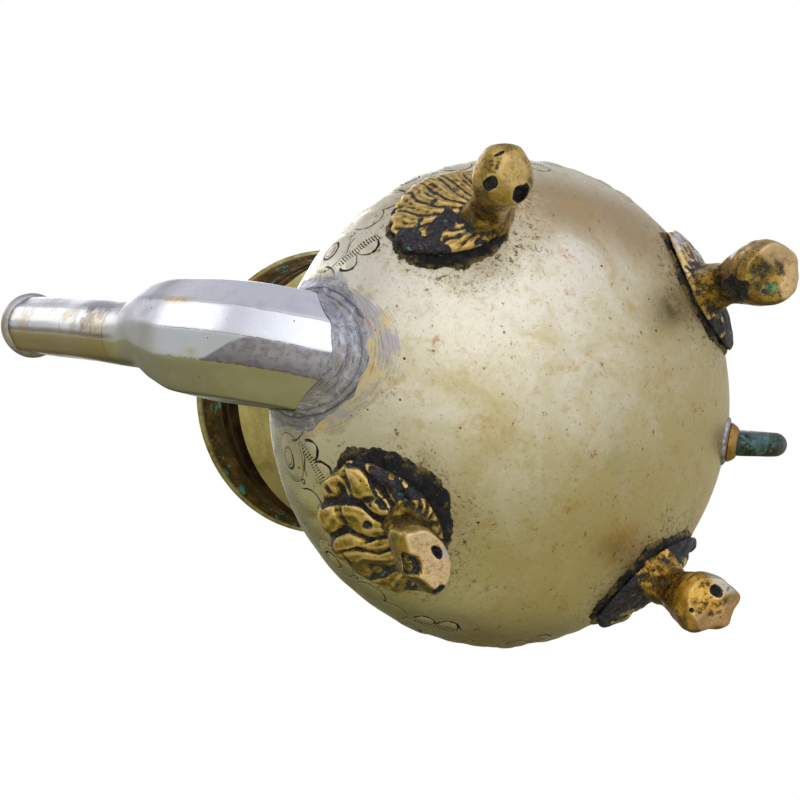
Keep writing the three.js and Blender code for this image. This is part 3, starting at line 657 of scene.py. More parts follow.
def grown(tree, points, settings):
    """Runs a Geometry Nodes tree on a line through points in mm, and returns a plain mesh."""
    line = bpy.data.meshes.new("line")
    edges = [(i, i + 1) for i in range(len(points) - 1)]
    line.from_pydata((np.asarray(points) * MM).tolist(), edges, [])
    holder = linked("holder", line)
    modifier = holder.modifiers.new("grow", "NODES")
    modifier.node_group = tree
    for item in tree.interface.items_tree:
        if item.in_out == "INPUT" and item.name in settings:
            modifier[item.identifier] = settings[item.name]
    mesh = applied(holder)
    outward(mesh)
    return mesh


LATHE = lathe_tree()


def turn_piece(name, profile, finish, slot, node, segments, wobble=0.0, seed=0, closed=True,
               move=None, body="pot"):
    """Places a solid of revolution about Z through [radius, height] points in mm."""
    profile = np.asarray(profile, float)
    if closed:
        profile = np.vstack([profile, profile[0]])
    points = np.column_stack([profile[:, 0], np.zeros(len(profile)), profile[:, 1]])
    mesh = grown(LATHE, points, {"Segments": segments, "Wobble": wobble * MM, "Seed": seed,
                 "Material": finish})
    if move:
        mesh.transform(move)
    place(name, mesh, finish, slot, node, body=body)

# %% [markdown]
# Neck, band and rim finishes: the neck is dull yellow brass with olive clouds, the recess of the
# band is full of dark brown polish with some orange rust, and the rim is brown and olive with
# turquoise where water stood.

# %% Finishes of the neck, the band and the rim


def dull_brass(name, bright, dark, accent, accent_share, low=0.3):
    f = Finish(name)
    clouds = f.noise(15, 1, 4, 0.6, warp=0.4)
    fine = f.noise(2.0, 2, 5, 0.7)
    rings = f.noise(0.5, 3, 2, 0.5, stretch=(0.05, 0.05, 1.0))
    f.base = f.mix((clouds + fine * 0.3).rise(0.5, 0.85), bright, dark)
    f.paint(rings.rise(0.45, 0.75, 0.0, 0.3), dark)
    f.paint(f.noise(7, 4, 5, 0.75).rise(0.64 - accent_share, 0.74), accent)
    pits = f.spots(3.5, 5).fall(0.05, 0.12) * f.noise(9, 6).rise(0.5, 0.6)
    f.paint(pits, "2a2012")
    roughness = fine * 0.25 + clouds * 0.2 + low
    height = clouds * 0.15 + fine * 0.04 + rings * 0.02 - pits * 0.1
    return f.done(roughness, height)


def weathered_rim(name):
    f = Finish(name)
    clouds = f.noise(9, 1, 5, 0.7, warp=0.4)
    fine = f.noise(1.6, 2, 5, 0.7)
    f.base = f.mix((clouds + fine * 0.3).rise(0.5, 0.8), "b4ad7c", "857a4a")
    deep = f.z.fall(190.8, 191.6)
    brown = f.mix(f.noise(5, 3, 5, 0.7).rise(0.46, 0.62), "382a18", "6e4a22")
    f.paint(deep * 0.9, brown)
    teal = f.noise(6, 4, 5, 0.75).rise(0.56, 0.63) * deep
    f.paint(teal, "4d9c9a")
    f.paint(f.noise(4, 7, 5, 0.75).rise(0.62, 0.7), "6a5a30")
    roughness = fine * 0.25 + clouds * 0.2 + deep * 0.2 + 0.26
    return f.done(roughness, clouds * 0.15 + fine * 0.08)


NECK_FINISH = dull_brass("neck_brass", "d2c588", "a89a5c", "8a8448", 0.02)
BAND_FINISH = dull_brass("dark_brass", "4c3a20", "241a12", "94552a", 0.07, 0.4)
RIM_FINISH = weathered_rim("rim_brass")
print("neck, band and rim finishes made")

# %% [markdown]
# The neck is a sleeve that laps into the body's mouth and flares. The band stands inside its top
# and steps out over the dark recess. The rim is a flared ring with a rolled edge.

# %% Neck, band and rim
NECK_FOOT, NECK_FLARE, FLARE_POWER = 44.7, 4.8, 1.7


def neck_radius(z):
    share = np.clip((np.asarray(z, float) - SHOULDER) / (NECK_TOP - SHOULDER), 0, 1)
    return NECK_FOOT + NECK_FLARE * share ** FLARE_POWER


heights = np.linspace(SHOULDER - 4, NECK_TOP, 40)
outer = np.column_stack([neck_radius(heights), heights])
inner = (outer - [SHEET, 0])[::-1]
turn_piece("neck_sleeve", [*outer, *inner], NECK_FINISH, "neck_brass", "neck", 200, 0.35, 1)

THROAT, RECESS, BAND_SHOULDER, BAND_TOP = 44.8, 46.8, 169.1, 179.6
INNER_RECESS = RECESS - 0.9
band = [(THROAT, NECK_TOP - 6), (RECESS, NECK_TOP - 6), (RECESS - 0.3, NECK_TOP + 1.0),
        (INNER_RECESS, NECK_TOP + 2.5), (INNER_RECESS, NECK_TOP + 6.5),
        (RECESS, BAND_SHOULDER - 0.4)]
moulding = [*spline([(47.1, -9.8), (48.1, -9.1), (48.6, -7.9), (48.5, -6.6), (47.9, -5.6)], 4),
            *spline([(47.8, -5.4), (47.5, -4.2), (47.5, -2.6), (47.9, -1.4)], 4),
            *spline([(48.1, -1.3), (48.6, -0.9), (48.5, -0.2)], 3), (48.2, 0.0)]
band += [(r, BAND_TOP + z) for r, z in moulding] + [(THROAT, BAND_TOP)]
turn_piece("turned_band", band, BAND_FINISH, "dark_brass", "neck_band", 200, 0.12, 2)

RIM_BASE, RIM_TOP, LEDGE, RIM_RADIUS, BEAD, SEAT = 179.9, 194.4, 190.4, 52.3, 1.2, 49.6
flare = spline([(48.0, 0), (47.66, 2.7), (48.26, 5.8), (49.4, 8.7), (50.84, 10.9),
                (51.1, 12.1)], 5) + [0, RIM_BASE]
angles = np.linspace(-0.5 * np.pi, np.pi, 18)
roll = np.column_stack([RIM_RADIUS - BEAD + BEAD * np.cos(angles),
                        RIM_TOP - BEAD + BEAD * np.sin(angles)])
rim = [(THROAT, RIM_BASE), *flare, *roll, (SEAT, RIM_TOP - BEAD), (SEAT, LEDGE), (THROAT, LEDGE)]
turn_piece("flared_rim", rim, RIM_FINISH, "rim_brass", "rim_flange", 200, 0.2, 3)

# %% [markdown]
# Spout finish: bright tin over brass, with brown in the corners and a few scratches along its
# length. Light is painted in by the angle round the spout: a painted highlight on the lit facets,
# painted violet grey and olive reflections on the facets below, and painted grey shade on the
# shoulder and along the slim neck.

# %% The spout's finish


def bright_tin(name):
    """Tin on the spout. The angle round it sets each facet's tone, which paints the light that each
    facet reflects.
    """
    f = Finish(name)
    clouds = f.noise(8, 1, 5, 0.65, warp=0.5)
    fine = f.noise(1.4, 2, 5, 0.7)
    turn = f.own("turn") + f.noise(5, 21, 3) * 3.0 - 1.5
    along = f.own("along")
    belly, slim = along.fall(0.30, 0.38), along.rise(0.6, 0.68)
    top, lit, hidden = turn.rise(29, 31), turn.rise(-28, -26), turn.fall(-28, -26)
    f.base = f.mix((clouds + fine * 0.1).rise(0.5, 0.8, 0.0, 0.6), "d0d2dd", "b9b8c6")
    # Painted highlight: the lit facets of the belly and a band of the slim neck get a bright bluish
    # silver.
    face = (turn.rise(-13, -9) * slim + lit * belly) * (1.0 - top)
    silver = f.mix(turn.rise(-2, 2), "dde4ff", "eaeef9")
    f.paint(face * clouds.rise(0.35, 0.6, 1.0, 0.85), silver)

    # Painted reflection: the facet below the lit ones is violet grey, streaked and darker towards
    # its lower edge.
    mauve_reflection = (turn + along.rise(0.15, 0.215, 0.0, 26.0)).fall(-0.5, 2.5) * lit
    mauve_reflection = mauve_reflection * along.fall(0.20, 0.235)
    brushed = f.noise(4, 22, 5, 0.65, stretch=(2, 2, 0.6), warp=0.4)
    f.paint(mauve_reflection, "afaebf")
    f.paint(mauve_reflection * brushed.rise(0.42, 0.64, 0.0, 0.7), "7f7c92")
    f.paint(mauve_reflection * turn.rise(-23, -8, 0.5, 0.0), "6f6a7c")
    # Painted reflection: the facets that face down are olive, for the ground they reflect.
    olive = hidden * turn.rise(-120, -100)
    f.paint(olive * f.noise(5, 24, 4).rise(0.3, 0.6, 0.8, 1.0), "b2b094")
    f.paint(olive * turn.rise(-80, -45, 0.7, 0.0), "97997a")

    # Painted shade: a grey band over the shoulder, where the bright facets turn away from the
    # light.
    shoulder_shade = along.ridge(0.465, 0.11, 0.06) * f.noise(6, 26, 3, 0.6).rise(0.35, 0.6, 0.7, 1.0)
    f.paint(shoulder_shade * turn.rise(-30, 10, 0.5, 0.9), "a0a0ac")
    blot = along.ridge(0.71, 0.04, 0.05) * f.noise(5, 28, 4, 0.6).rise(0.45, 0.55)
    f.paint(blot * turn.rise(-24, -16), "8b8484")
    # Painted shade: the top facets of the slim neck are darker grey.
    f.paint(slim * turn.rise(33, 42, 0.0, 0.9), "92909e")
    f.paint(slim * clouds.rise(0.42, 0.62, 0.0, 0.7) * turn.rise(25, 32, 1.0, 0.1), "c6b69e")
    # Painted reflections on the slim neck: olive tan on the lower facets and a dark line below the
    # highlight.
    f.paint(slim * turn.fall(-26, -22) * turn.rise(-120, -90), "a8996c")
    f.paint(slim * turn.ridge(-18, 4.5, 4.0) * 0.75, "6c6464")

    gold = turn.ridge(30, 3.5, 3) * along.ridge(0.31, 0.04, 0.02) * fine.rise(0.36, 0.5)
    gold = highest(gold, turn.ridge(-20, 3, 3) * along.ridge(0.24, 0.01, 0.02) * 0.8)
    edge = turn.ridge(30.0, 0.5, 0.6) * fine.rise(0.3, 0.5, 0.2, 1.0)
    seam = turn.ridge(0.9, 0.25, 0.3) * f.noise(4, 25).rise(0.4, 0.5, 0.1, 1.0)
    red = turn.ridge(-26.2, 1.0, 1.2) * fine.rise(0.4, 0.6) * along.rise(0.2, 0.5, 1.0, 0.4)
    lip = f.z.ridge(196.2, 1.0, 0.7) * fine.rise(0.4, 0.55)
    scratch = f.noise(1.2, 7, 2, 0.5, stretch=(5, 5, 0.25)).rise(0.58, 0.68)
    pits = f.spots(2.6, 8).fall(0.06, 0.13) * f.noise(7, 9).rise(0.54, 0.62)
    for amount, tone in ((gold * 0.8, "d0a860"), (edge * belly * 0.5, "9a8250"),
                         (seam * belly * 0.7, "5c5860"), (red * belly * 0.7, "80504a"),
                         (lip * 0.8, "b0582c"), (pits, "4c4038")):
        f.paint(amount, tone)
    roughness = fine * 0.1 + clouds * 0.12 + mauve_reflection * 0.1 + olive * 0.08 + shoulder_shade * 0.1 + 0.15
    height = clouds * 0.05 + (fine * 0.012 - scratch * 0.008) * (1.0 - top) - pits * 0.1
    return f.done(roughness, height - (seam + edge) * belly * 0.08 + mauve_reflection * brushed * 0.08)


TIN_FINISH = bright_tin("tinned")
print("spout finish:", len(TIN_FINISH.node_tree.nodes), "nodes")

# %% [markdown]
# The spout is an octagonal tube filed from a casting: full and crisp at the belly, then a soft
# shoulder and a slim neck. Its middle line and half width come from the CAD part's stations. The
# section is a rounded octagon, r = half / (sum of cos^p)^(1/p), and p sets how crisp the corners
# are. Where the tube meets the body, each line along it is shortened to end on the body.

# %% The spout's surface
BELLY_HALF, SPOUT_WALL = 17.7, 1.4
FACETS = np.radians([15, -12, -40, -90, -135, 180, 135, 90, 45])
SPOUT_MOUTH_X, SPOUT_RISE, ROOT_DEPTH = 112.8, 143.0, 24.5
root_shares = [(-1, 0, 1), (-0.28, 0.02, 0.98), (0.18, 0.08, 0.99)]
rest_shares = [(0.26, 0.17, 1, 0), (0.39, 0.28, 0.98, 0), (0.508, 0.352, 0.88, 0.05),
               (0.6, 0.41, 0.74, 0.09), (0.674, 0.455, 0.63, -0.01), (0.728, 0.492, 0.585, -0.06),
               (0.82, 0.61, 0.565, -0.045), (0.86, 0.74, 0.56, -0.02), (0.93, 0.87, 0.55, -0.02),
               (1, 1, 0.53, -0.02)]
corner_power = [90, 90, 90, 90, 80, 46, 20, 12, 12, 16, 20, 24, 24]
stations = [(BODY_RADIUS + ROOT_DEPTH * deep, 0, ROOT_Z + SPOUT_RISE * up, BELLY_HALF * half)
            for deep, up, half in root_shares]
stations += [(BODY_RADIUS + (SPOUT_MOUTH_X - BODY_RADIUS) * out, BELLY_HALF * aside,
              ROOT_Z + SPOUT_RISE * up, BELLY_HALF * half) for out, up, half, aside in rest_shares]
STATION_STEPS = 24
line = spline(np.column_stack([stations, corner_power]), STATION_STEPS)
runs = np.gradient(line[:, :3], axis=0)
runs[:, 1] = 0
last = STATION_STEPS + 1
runs[-last:] += (np.linspace(0, 1, last) ** 2)[:, None] * ([0, 0, 1] - runs[-last:])
runs /= np.linalg.norm(runs, axis=1, keepdims=True)


def spout_points(t, angle, grow=0.0):
    """Points of the spout's surface: t runs from 0 at the root to 1 at the lip."""
    steps = np.linspace(0, 1, len(line))
    x, y, z, half, crisp = [np.interp(t, steps, column) for column in line.T]
    run_x, run_z = [np.interp(t, steps, runs[:, axis]) for axis in (0, 2)]
    total = sum(np.clip(np.cos(angle - way), 0, 1) ** crisp for way in FACETS)
    reach = (half + grow) / total ** (1 / crisp)
    deep, wide = reach * np.cos(angle), reach * np.sin(angle)
    return np.column_stack([x + run_z * deep, y + wide, z - run_x * deep])


def spout_start(angle, grow, body_grow):
    """For each angle, the t at which the spout's surface leaves the body."""
    low, high = np.zeros(len(angle)), np.full(len(angle), 0.4)
    for _ in range(30):
        middle = (low + high) / 2
        inside_body = body_inside(spout_points(middle, angle, grow), body_grow) < 1
        low, high = np.where(inside_body, middle, low), np.where(inside_body, high, middle)
    return high


SIDES = 180
around = np.arange(SIDES) * 2 * np.pi / SIDES - np.pi
JOINT_T = 8 / (len(stations) - 1)


def tube(node, starts, end, rows):
    """A tube between two walls: down the outside, then back up the bore."""
    rings, along = [], []
    shares = np.linspace(0, 1, rows)
    for grow, order in ((0.0, shares[::-1]), (-SPOUT_WALL, shares)):
        start = starts(grow)
        for share in order:
            t = start + (end - start) * share
            points = spout_points(t, around, grow)
            if grow == 0:
                lift = 0.05 * rough(points, 7, 31) + 0.025 * rough(points, 2.5, 32)
                points[:, 1:] += lift[:, None] * np.sign(points[:, 1:] - [0, 60])
            rings.append(points)
            along.append(t)
    mesh = new_mesh(node + "_tube", *closed_skin(rings, joined=True))
    keep(mesh, "turn", np.tile(np.degrees(around), len(rings)))
    keep(mesh, "along", np.concatenate(along))
    place(node + "_tube", mesh, TIN_FINISH, "tinned", node, sharp=60)


tube("spout_belly", lambda grow: spout_start(around, grow, 0.3), JOINT_T, 80)
tube("spout_neck", lambda grow: np.full(SIDES, JOINT_T + 0.001), 1.0, 60)

LIP_FINISH = dull_brass("tinned_ring", "bab9bf", "8f8a84", "75603c", 0.1, 0.2)
LIP_RADIUS, LIP_THICK, LIP_Z = 9.1, 2.1, 198.9
angles = full_turn(24)
lip = np.column_stack([LIP_RADIUS + LIP_THICK * np.cos(angles), LIP_Z + LIP_THICK * np.sin(angles)])
lip_move = Matrix.Translation((SPOUT_MOUTH_X * MM, rest_shares[-1][3] * BELLY_HALF * MM, 0))
turn_piece("spout_lip_ring", lip, LIP_FINISH, "tinned", "spout_mouth_ring", 72, 0.4, 4,
           move=lip_move)

# %% [markdown]
# Lead solder holds the spout. It climbs a little up the spout's wall, then was wiped over the body
# in a thin ragged smear with scratches, and copper shows through in streaks.

# %% The spout's solder


def wiped_solder(name):
    f = Finish(name)
    clouds = f.noise(5, 1, 5, 0.7, warp=0.8)
    ring, stroke = root_wipes(f)
    f.base = f.mix((clouds + stroke * 0.5).rise(0.55, 0.85), "cbccd8", "9a9ba9")
    f.paint(stroke.rise(0.54, 0.59) * clouds.rise(0.4, 0.6) * 0.7, "b89670")
    f.paint(stroke.rise(0.42, 0.46, 0.6, 0.0), "66646c")
    f.paint(f.noise(6, 5, 4, 0.7).rise(0.58, 0.7, 0.0, 0.8), "dcdde6")
    ring = ring + clouds * 1.5
    f.paint(highest(ring.ridge(1.9, 0.25, 0.3), ring.ridge(0.2, 0.2, 0.3) * 0.7) * 0.8, "4c4a50")
    return f.done(clouds * 0.2 + stroke * 0.16 + 0.2, clouds * 0.3 + stroke * 0.9)


def on_metal(points, out):
    """Points on the worked body, out by some mm."""
    return onto_body(points, relief(onto_body(points)) + out)


SOLDER_FINISH = wiped_solder("solder")
CLIMB = (0.012, 0.009, 0.006, 0.003)
root_t = spout_start(around, 0.0, 0.0)
root_line = spout_points(root_t, around)
away = root_line - root_line.mean(axis=0)
normals = body_normals(onto_body(root_line))
away -= normals * np.einsum("ij,ij->i", away, normals)[:, None]
away /= np.linalg.norm(away, axis=1, keepdims=True)
downward = np.clip(-away[:, 2], 0, 1)
reach = 5.0 + 2.5 * downward + 1.2 * rough(root_line, 7, 41) + 0.6 * rough(root_line, 2, 42)
rings = [spout_points(root_t + share, around, 1 - 0.8 * share / CLIMB[0]) for share in CLIMB]
for share in np.linspace(0.08, 1, 26):
    points = root_line + away * (reach * share)[:, None]
    thick = 0.9 * (1 - share) ** 2.2 + 0.35 * math.sin(min(share * 1.6, 1) * math.pi) ** 2 + 0.03
    bumps = 0.10 * rough(points, 2.2, 43) + 0.05 * rough(points, 0.9, 44)
    rings.append(on_metal(points, np.maximum(thick + bumps * (1 - share ** 2), 0.02)))
for share in np.linspace(1, 0, 8):
    rings.append(on_metal(root_line + away * (reach * share * 0.995)[:, None], -0.2))
solder_mesh = new_mesh("spout_solder_smear", *closed_skin(rings, joined=True))
place("spout_solder_smear", solder_mesh, SOLDER_FINISH, "solder", "spout_solder", sharp=70)

# %% [markdown]
# The feet are castings: a fan of mane locks on the body, a short leg and a lion's paw. Each is
# modelled as closed shells that overlap, then a voxel remesh fuses them into one skin. Locks are
# ridges of height around the leg's root. The castings differ a little, so each has its own seed,
# number of locks and curl. Where the skin is hollow, black polish and tar have stayed, so each
# point keeps how hollow it is as an attribute for the finish.

# %% The plate's place and the looks of the feet
PLATE_NORMAL = np.array([0.7347, 0, -0.678])
PLATE_UP = np.array([0.678, 0, 0.7347])
PLATE_MIDDLE = np.array([PLATE_R, 0, PLATE_Z])
PLATE_HALF, PLATE_RISE, PLATE_DROP, LEG_ROOT = 20.0, 18.0, 13.0, 8.45

# Four values to a row, one for each foot in the order of FOOT_TURNS.
LOOK_TABLE = {
    # The locks: a random seed, their number, curl, sway, height and width, and the side worn flat.
    "seed": (11, 12, 13, 14), "locks": (13, 6, 7, 6),
    "curl": (0.45, 0.2, 0.3, 0.55), "sway": (0.2, 0.1, 0.1, 0.35),
    "bold": (1.4, 1.5, 1.7, 3.0), "width": (1.15, 1.0, 0.9, 0.88),
    "worn": (0.6, 0.0, 0.0, -0.65),
    # The plate: its size and shift, the hump at the leg, and tar as a base and two slopes.
    "fan": (1.0, 1.03, 1.0, 1.1), "shift": (-0.6, 1.6, 0.0, 2.0), "hump": (1.3, 5.0, 4.0, 1.3),
    "tar": ((0.02, -0.034, -0.028), (0.1, 0.035, -0.02), (0.55, 0.0, -0.03),
            (-0.14, 0.022, -0.034)),
    # The leg's shift, the paw's place (out, aside), half sizes, rounding, toes and filed bevel.
    "root": (4.0, -0.5, 0.6, 1.6), "paw": ((1.6, 3.0), (-1.8, -0.6), (-3.6, 1.0), (-0.6, -0.2)),
    "wide": (8.2, 9.8, 9.4, 10.8), "long": (8.8, 9.6, 8.4, 6.7),
    "round": (0.6, 0.16, 0.12, 0.2), "toes": (0.3, 0.25, 1.2, 1.0),
    "bevel": ((0, 0), (-1.2, 0.55), (1.0, 0.5), (0, 0)),
    # A patch on the sole (out, aside, half), and holes (out, aside, half sizes, depth, blackness).
    "patch": ((-9.0, -3.0, 1.4), (-3.0, 3.2, 1.7), (-2.6, -7.2, 4.2), (-5.6, -1.2, 2.2)),
    "holes": ([(-5.6, 0.2, 2.3, 3.0, 3.0, 1), (0.6, -6.8, 1.9, 1.7, 2.2, 1),
               (6.6, -0.5, 0.3, 1.7, 0.6, 1)], [],
              [(-1.8, -3.2, 1.8, 1.6, 2.0, 1), (-2.0, 6.8, 0.7, 0.7, 1.0, 1)],
              [(-2.4, 0.2, 1.3, 2.2, 2.2, 1), (5.2, 1.6, 2.6, 3.8, 2.4, 0.45),
               (2.4, -8.6, 1.8, 0.9, 1.2, 1)]),
    # The solder bed's reach past the plate, more reach on one side, and that side's angle.
    "bed": ((0.8, 3.2, -130), (0.6, 1.2, -90), (1.2, 2.0, -90), (0.2, 5.6, -60)),
    # Tones: gold, olive, the plate's, the sole's and the patch's, and how much silver shows.
    "tones": (("c0a45c", "857038", "b0924e", "d2b67c", "5c9c84", 0.0),
              ("b8964e", "7c6a40", "6a5a44", "d6b88e", "3f9a7c", 0.9),
              ("d9ae58", "a88238", "a8883e", "ac8c66", "b0babb", 0.0),
              ("b09442", "7d6e34", "a38c3e", "e6caa0", "a9b3c0", 0.12))}
LOOKS = {foot: dict(zip(LOOK_TABLE, column))
         for foot, column in zip(FOOT_TURNS, zip(*LOOK_TABLE.values()))}
print("looks of a foot:", ", ".join(LOOK_TABLE))

# %% The fan of locks


def plate_to_body(across, up, out):
    """Plate coordinates in mm to points over the body, met along the plate's normal."""
    start = PLATE_MIDDLE + np.outer(across, [0, 1, 0]) + np.outer(up, PLATE_UP)
    scale = np.array([1 / BODY_RADIUS, 1 / BODY_RADIUS, 1 / LOWER])
    p, n = (start - [0, 0, EQUATOR]) * scale, PLATE_NORMAL * scale
    b, c = p @ n, (p * p).sum(axis=1) - 1
    travel = (-b + np.sqrt(np.maximum(b * b - n @ n * c, 0))) / (n @ n)
    surface = start + np.outer(travel, PLATE_NORMAL)
    return surface + body_normals(surface) * np.reshape(out, (-1, 1))


def flat_points(x, y):
    return np.column_stack([x, y, x * 0])


def fan_outline(angle, look, lobed=1):
    upward = np.sin(angle)
    lobe = np.where(upward > 0, 1 + 0.025 * np.cos(2 * lobed * look["locks"] * angle), 1)
    tall = np.where(upward > 0, PLATE_RISE, PLATE_DROP) * look["fan"]
    taper = np.where(upward < 0, 1 + 0.25 * upward, 1)
    wide = PLATE_HALF * look["fan"]
    return wide * np.cos(angle) * lobe * taper + look["shift"], tall * upward * lobe


def lock_ridge(x, y, reach, look):
    """How high a point of the fan stands on its lock: 0 in the gap between two, 1 on the crest."""
    lean = np.arctan2(x - look["root"], y + LEG_ROOT)
    phase = lean / np.pi * look["locks"] + look["curl"] * np.sign(lean) * reach ** 2
    phase += look["sway"] * np.sin(reach * 5.5) + 0.30 * rough(flat_points(x, y), 5, look["seed"])
    across = np.abs(phase - np.round(phase)) * 2 / look["width"]
    return np.sqrt(np.clip(1 - across ** 2, 0, 1)), phase


def plate_shell(look):
    seed, worn = look["seed"], look["worn"]
    edge_x, edge_y = fan_outline(full_turn(260), look)
    top, bottom = [], []
    for share in np.concatenate([np.linspace(0.02, 0.9, 50), np.linspace(0.92, 1, 9)]):
        x, y = edge_x * share, edge_y * share
        reach = np.hypot(x, y + LEG_ROOT) / np.hypot(edge_x, edge_y + LEG_ROOT)
        ridge, phase = lock_ridge(x, y, reach, look)
        broken = smooth_step(rough(flat_points(x, y), 3.2, seed + 7), -0.75, -0.2)
        bold = look["bold"] * (1 - abs(worn) * smooth_step(x * np.sign(worn), -3, 8))
        comb = 0.12 * np.cos(phase * 6 * np.pi) * ridge
        height = 0.6 + bold * ridge * (0.6 + 0.4 * broken) + comb
        height += look["hump"] * (1 - reach) ** 2
        height *= np.sqrt(np.clip(1 - share ** 14, 0, 1)) * 0.9 + 0.1
        height += 0.14 * rough(flat_points(x, y), 1.8, seed + 1)
        top.append(plate_to_body(x, y, 1.5 + height))
        bottom.append(plate_to_body(x, y, 1.3))
    return closed_skin(top + bottom[::-1])

# %% Leg and paw
FOOT_RADIUS, LEG_HALF, LEG_SIDES, SOLE_EDGE, BEVEL_TOP = 70.0, 5.8, 110, 5.0, 9
# Rows of the leg: height as a share, how far out, how much of a paw, and how much toe.
LEG_TABLE = [(1.25, -0.15, 0, 0), (0.95, 0.2, 0, 0), (0.72, 0.55, 0.12, 0.1),
             (0.5, 0.82, 0.6, 0.5), (0.32, 0.97, 0.97, 0.95), (0.18, 1, 1, 1), (0.0, 1, 1, 1)]
LEG_TOP = PLATE_MIDDLE - PLATE_UP * LEG_ROOT
TOE_ANGLES = np.radians([-62, 0, 62])


def leg_shell(look):
    angle = full_turn(LEG_SIDES)
    paw_out, paw_aside = look["paw"]
    bevel_start, bevel_slope = look["bevel"]
    lobes = sum(np.exp(-((angle - a + np.pi) % (2 * np.pi) - np.pi) ** 2 / 0.11)
                for a in TOE_ANGLES)
    rings = []
    for up, out, paw, toe in spline(LEG_TABLE, 12):
        paw, z = np.clip(paw, 0, 1), LEG_TOP[2] * max(up, 0)
        centre_x = LEG_TOP[0] + (FOOT_RADIUS + paw_out * paw - LEG_TOP[0]) * out
        centre_y = look["root"] * (1 - out) + paw_aside * out
        wide, long = [LEG_HALF + (look[way] - LEG_HALF) * paw for way in ("wide", "long")]
        drop = np.clip(1 - z / SOLE_EDGE, 0, 1)
        size = 1 + look["toes"] * toe * (0.15 * lobes - 0.07) - look["round"] * drop ** 2.6
        size = size + 0.07 * (1 - paw) * np.cos(5 * angle + 4 * up)
        size = size * (1 + 0.45 * smooth_step(up, 0.7, 1.05))
        ring = np.column_stack([centre_x + long * np.cos(angle) * size,
                                centre_y + wide * np.sin(angle) * size, np.full(LEG_SIDES, z)])
        ring[:, :2] += 0.35 * rough(ring, 3.5, look["seed"] + 2)[:, None]
        lift = np.clip(bevel_start - (ring[:, 0] - centre_x), 0, None) * bevel_slope
        ring[:, 2] += lift * np.clip(1 - z / BEVEL_TOP, 0, 1)
        rings.append(ring)
    return closed_skin(rings)

# %% Fusing a foot and finding its hollows
VOXEL, LOW_FOOT, HOLLOW_ROUNDS, HOLLOW_DEPTH = 0.42, 8, 14, 0.35
SIDE_HOLE, SIDE_HALF, SIDE_DEPTH = (2.2, 9.5), (3.4, 6.5), 1.6


def fused(name, look):
    holder = linked(name, new_mesh(name, *joined_shells(plate_shell(look), leg_shell(look))))
    modifier = holder.modifiers.new("fuse", "REMESH")
    modifier.mode, modifier.voxel_size = "VOXEL", VOXEL * MM
    return applied(holder)


def averaged(values, edges):
    """Values spread over the mesh by averaging each point with its neighbours."""
    count = np.bincount(edges.ravel(), minlength=len(values))[:, None]
    for _ in range(HOLLOW_ROUNDS):
        total = np.zeros_like(values)
        for a, b in ((0, 1), (1, 0)):
            for axis in range(values.shape[1]):
                total[:, axis] += np.bincount(edges[:, a], values[edges[:, b], axis], len(values))
        values = 0.5 * values + 0.5 * total / np.maximum(count, 1)
    return values


def keep_hollows(mesh):
    """Stores on each point how far it lies below its surroundings, from 0 to 1."""
    points = numbers(mesh.vertices, "co") / MM
    spread = averaged(points, numbers(mesh.edges, "vertices", 2, int))
    normals = numbers(mesh.vertex_normals, "vector")
    depth = np.einsum("ij,ij->i", spread - points, normals) / HOLLOW_DEPTH
    keep(mesh, "hollow", np.clip(0.5 + 0.5 * depth, 0, 1))


def about_z(degrees):
    return Matrix.Rotation(math.radians(degrees), 4, "Z")


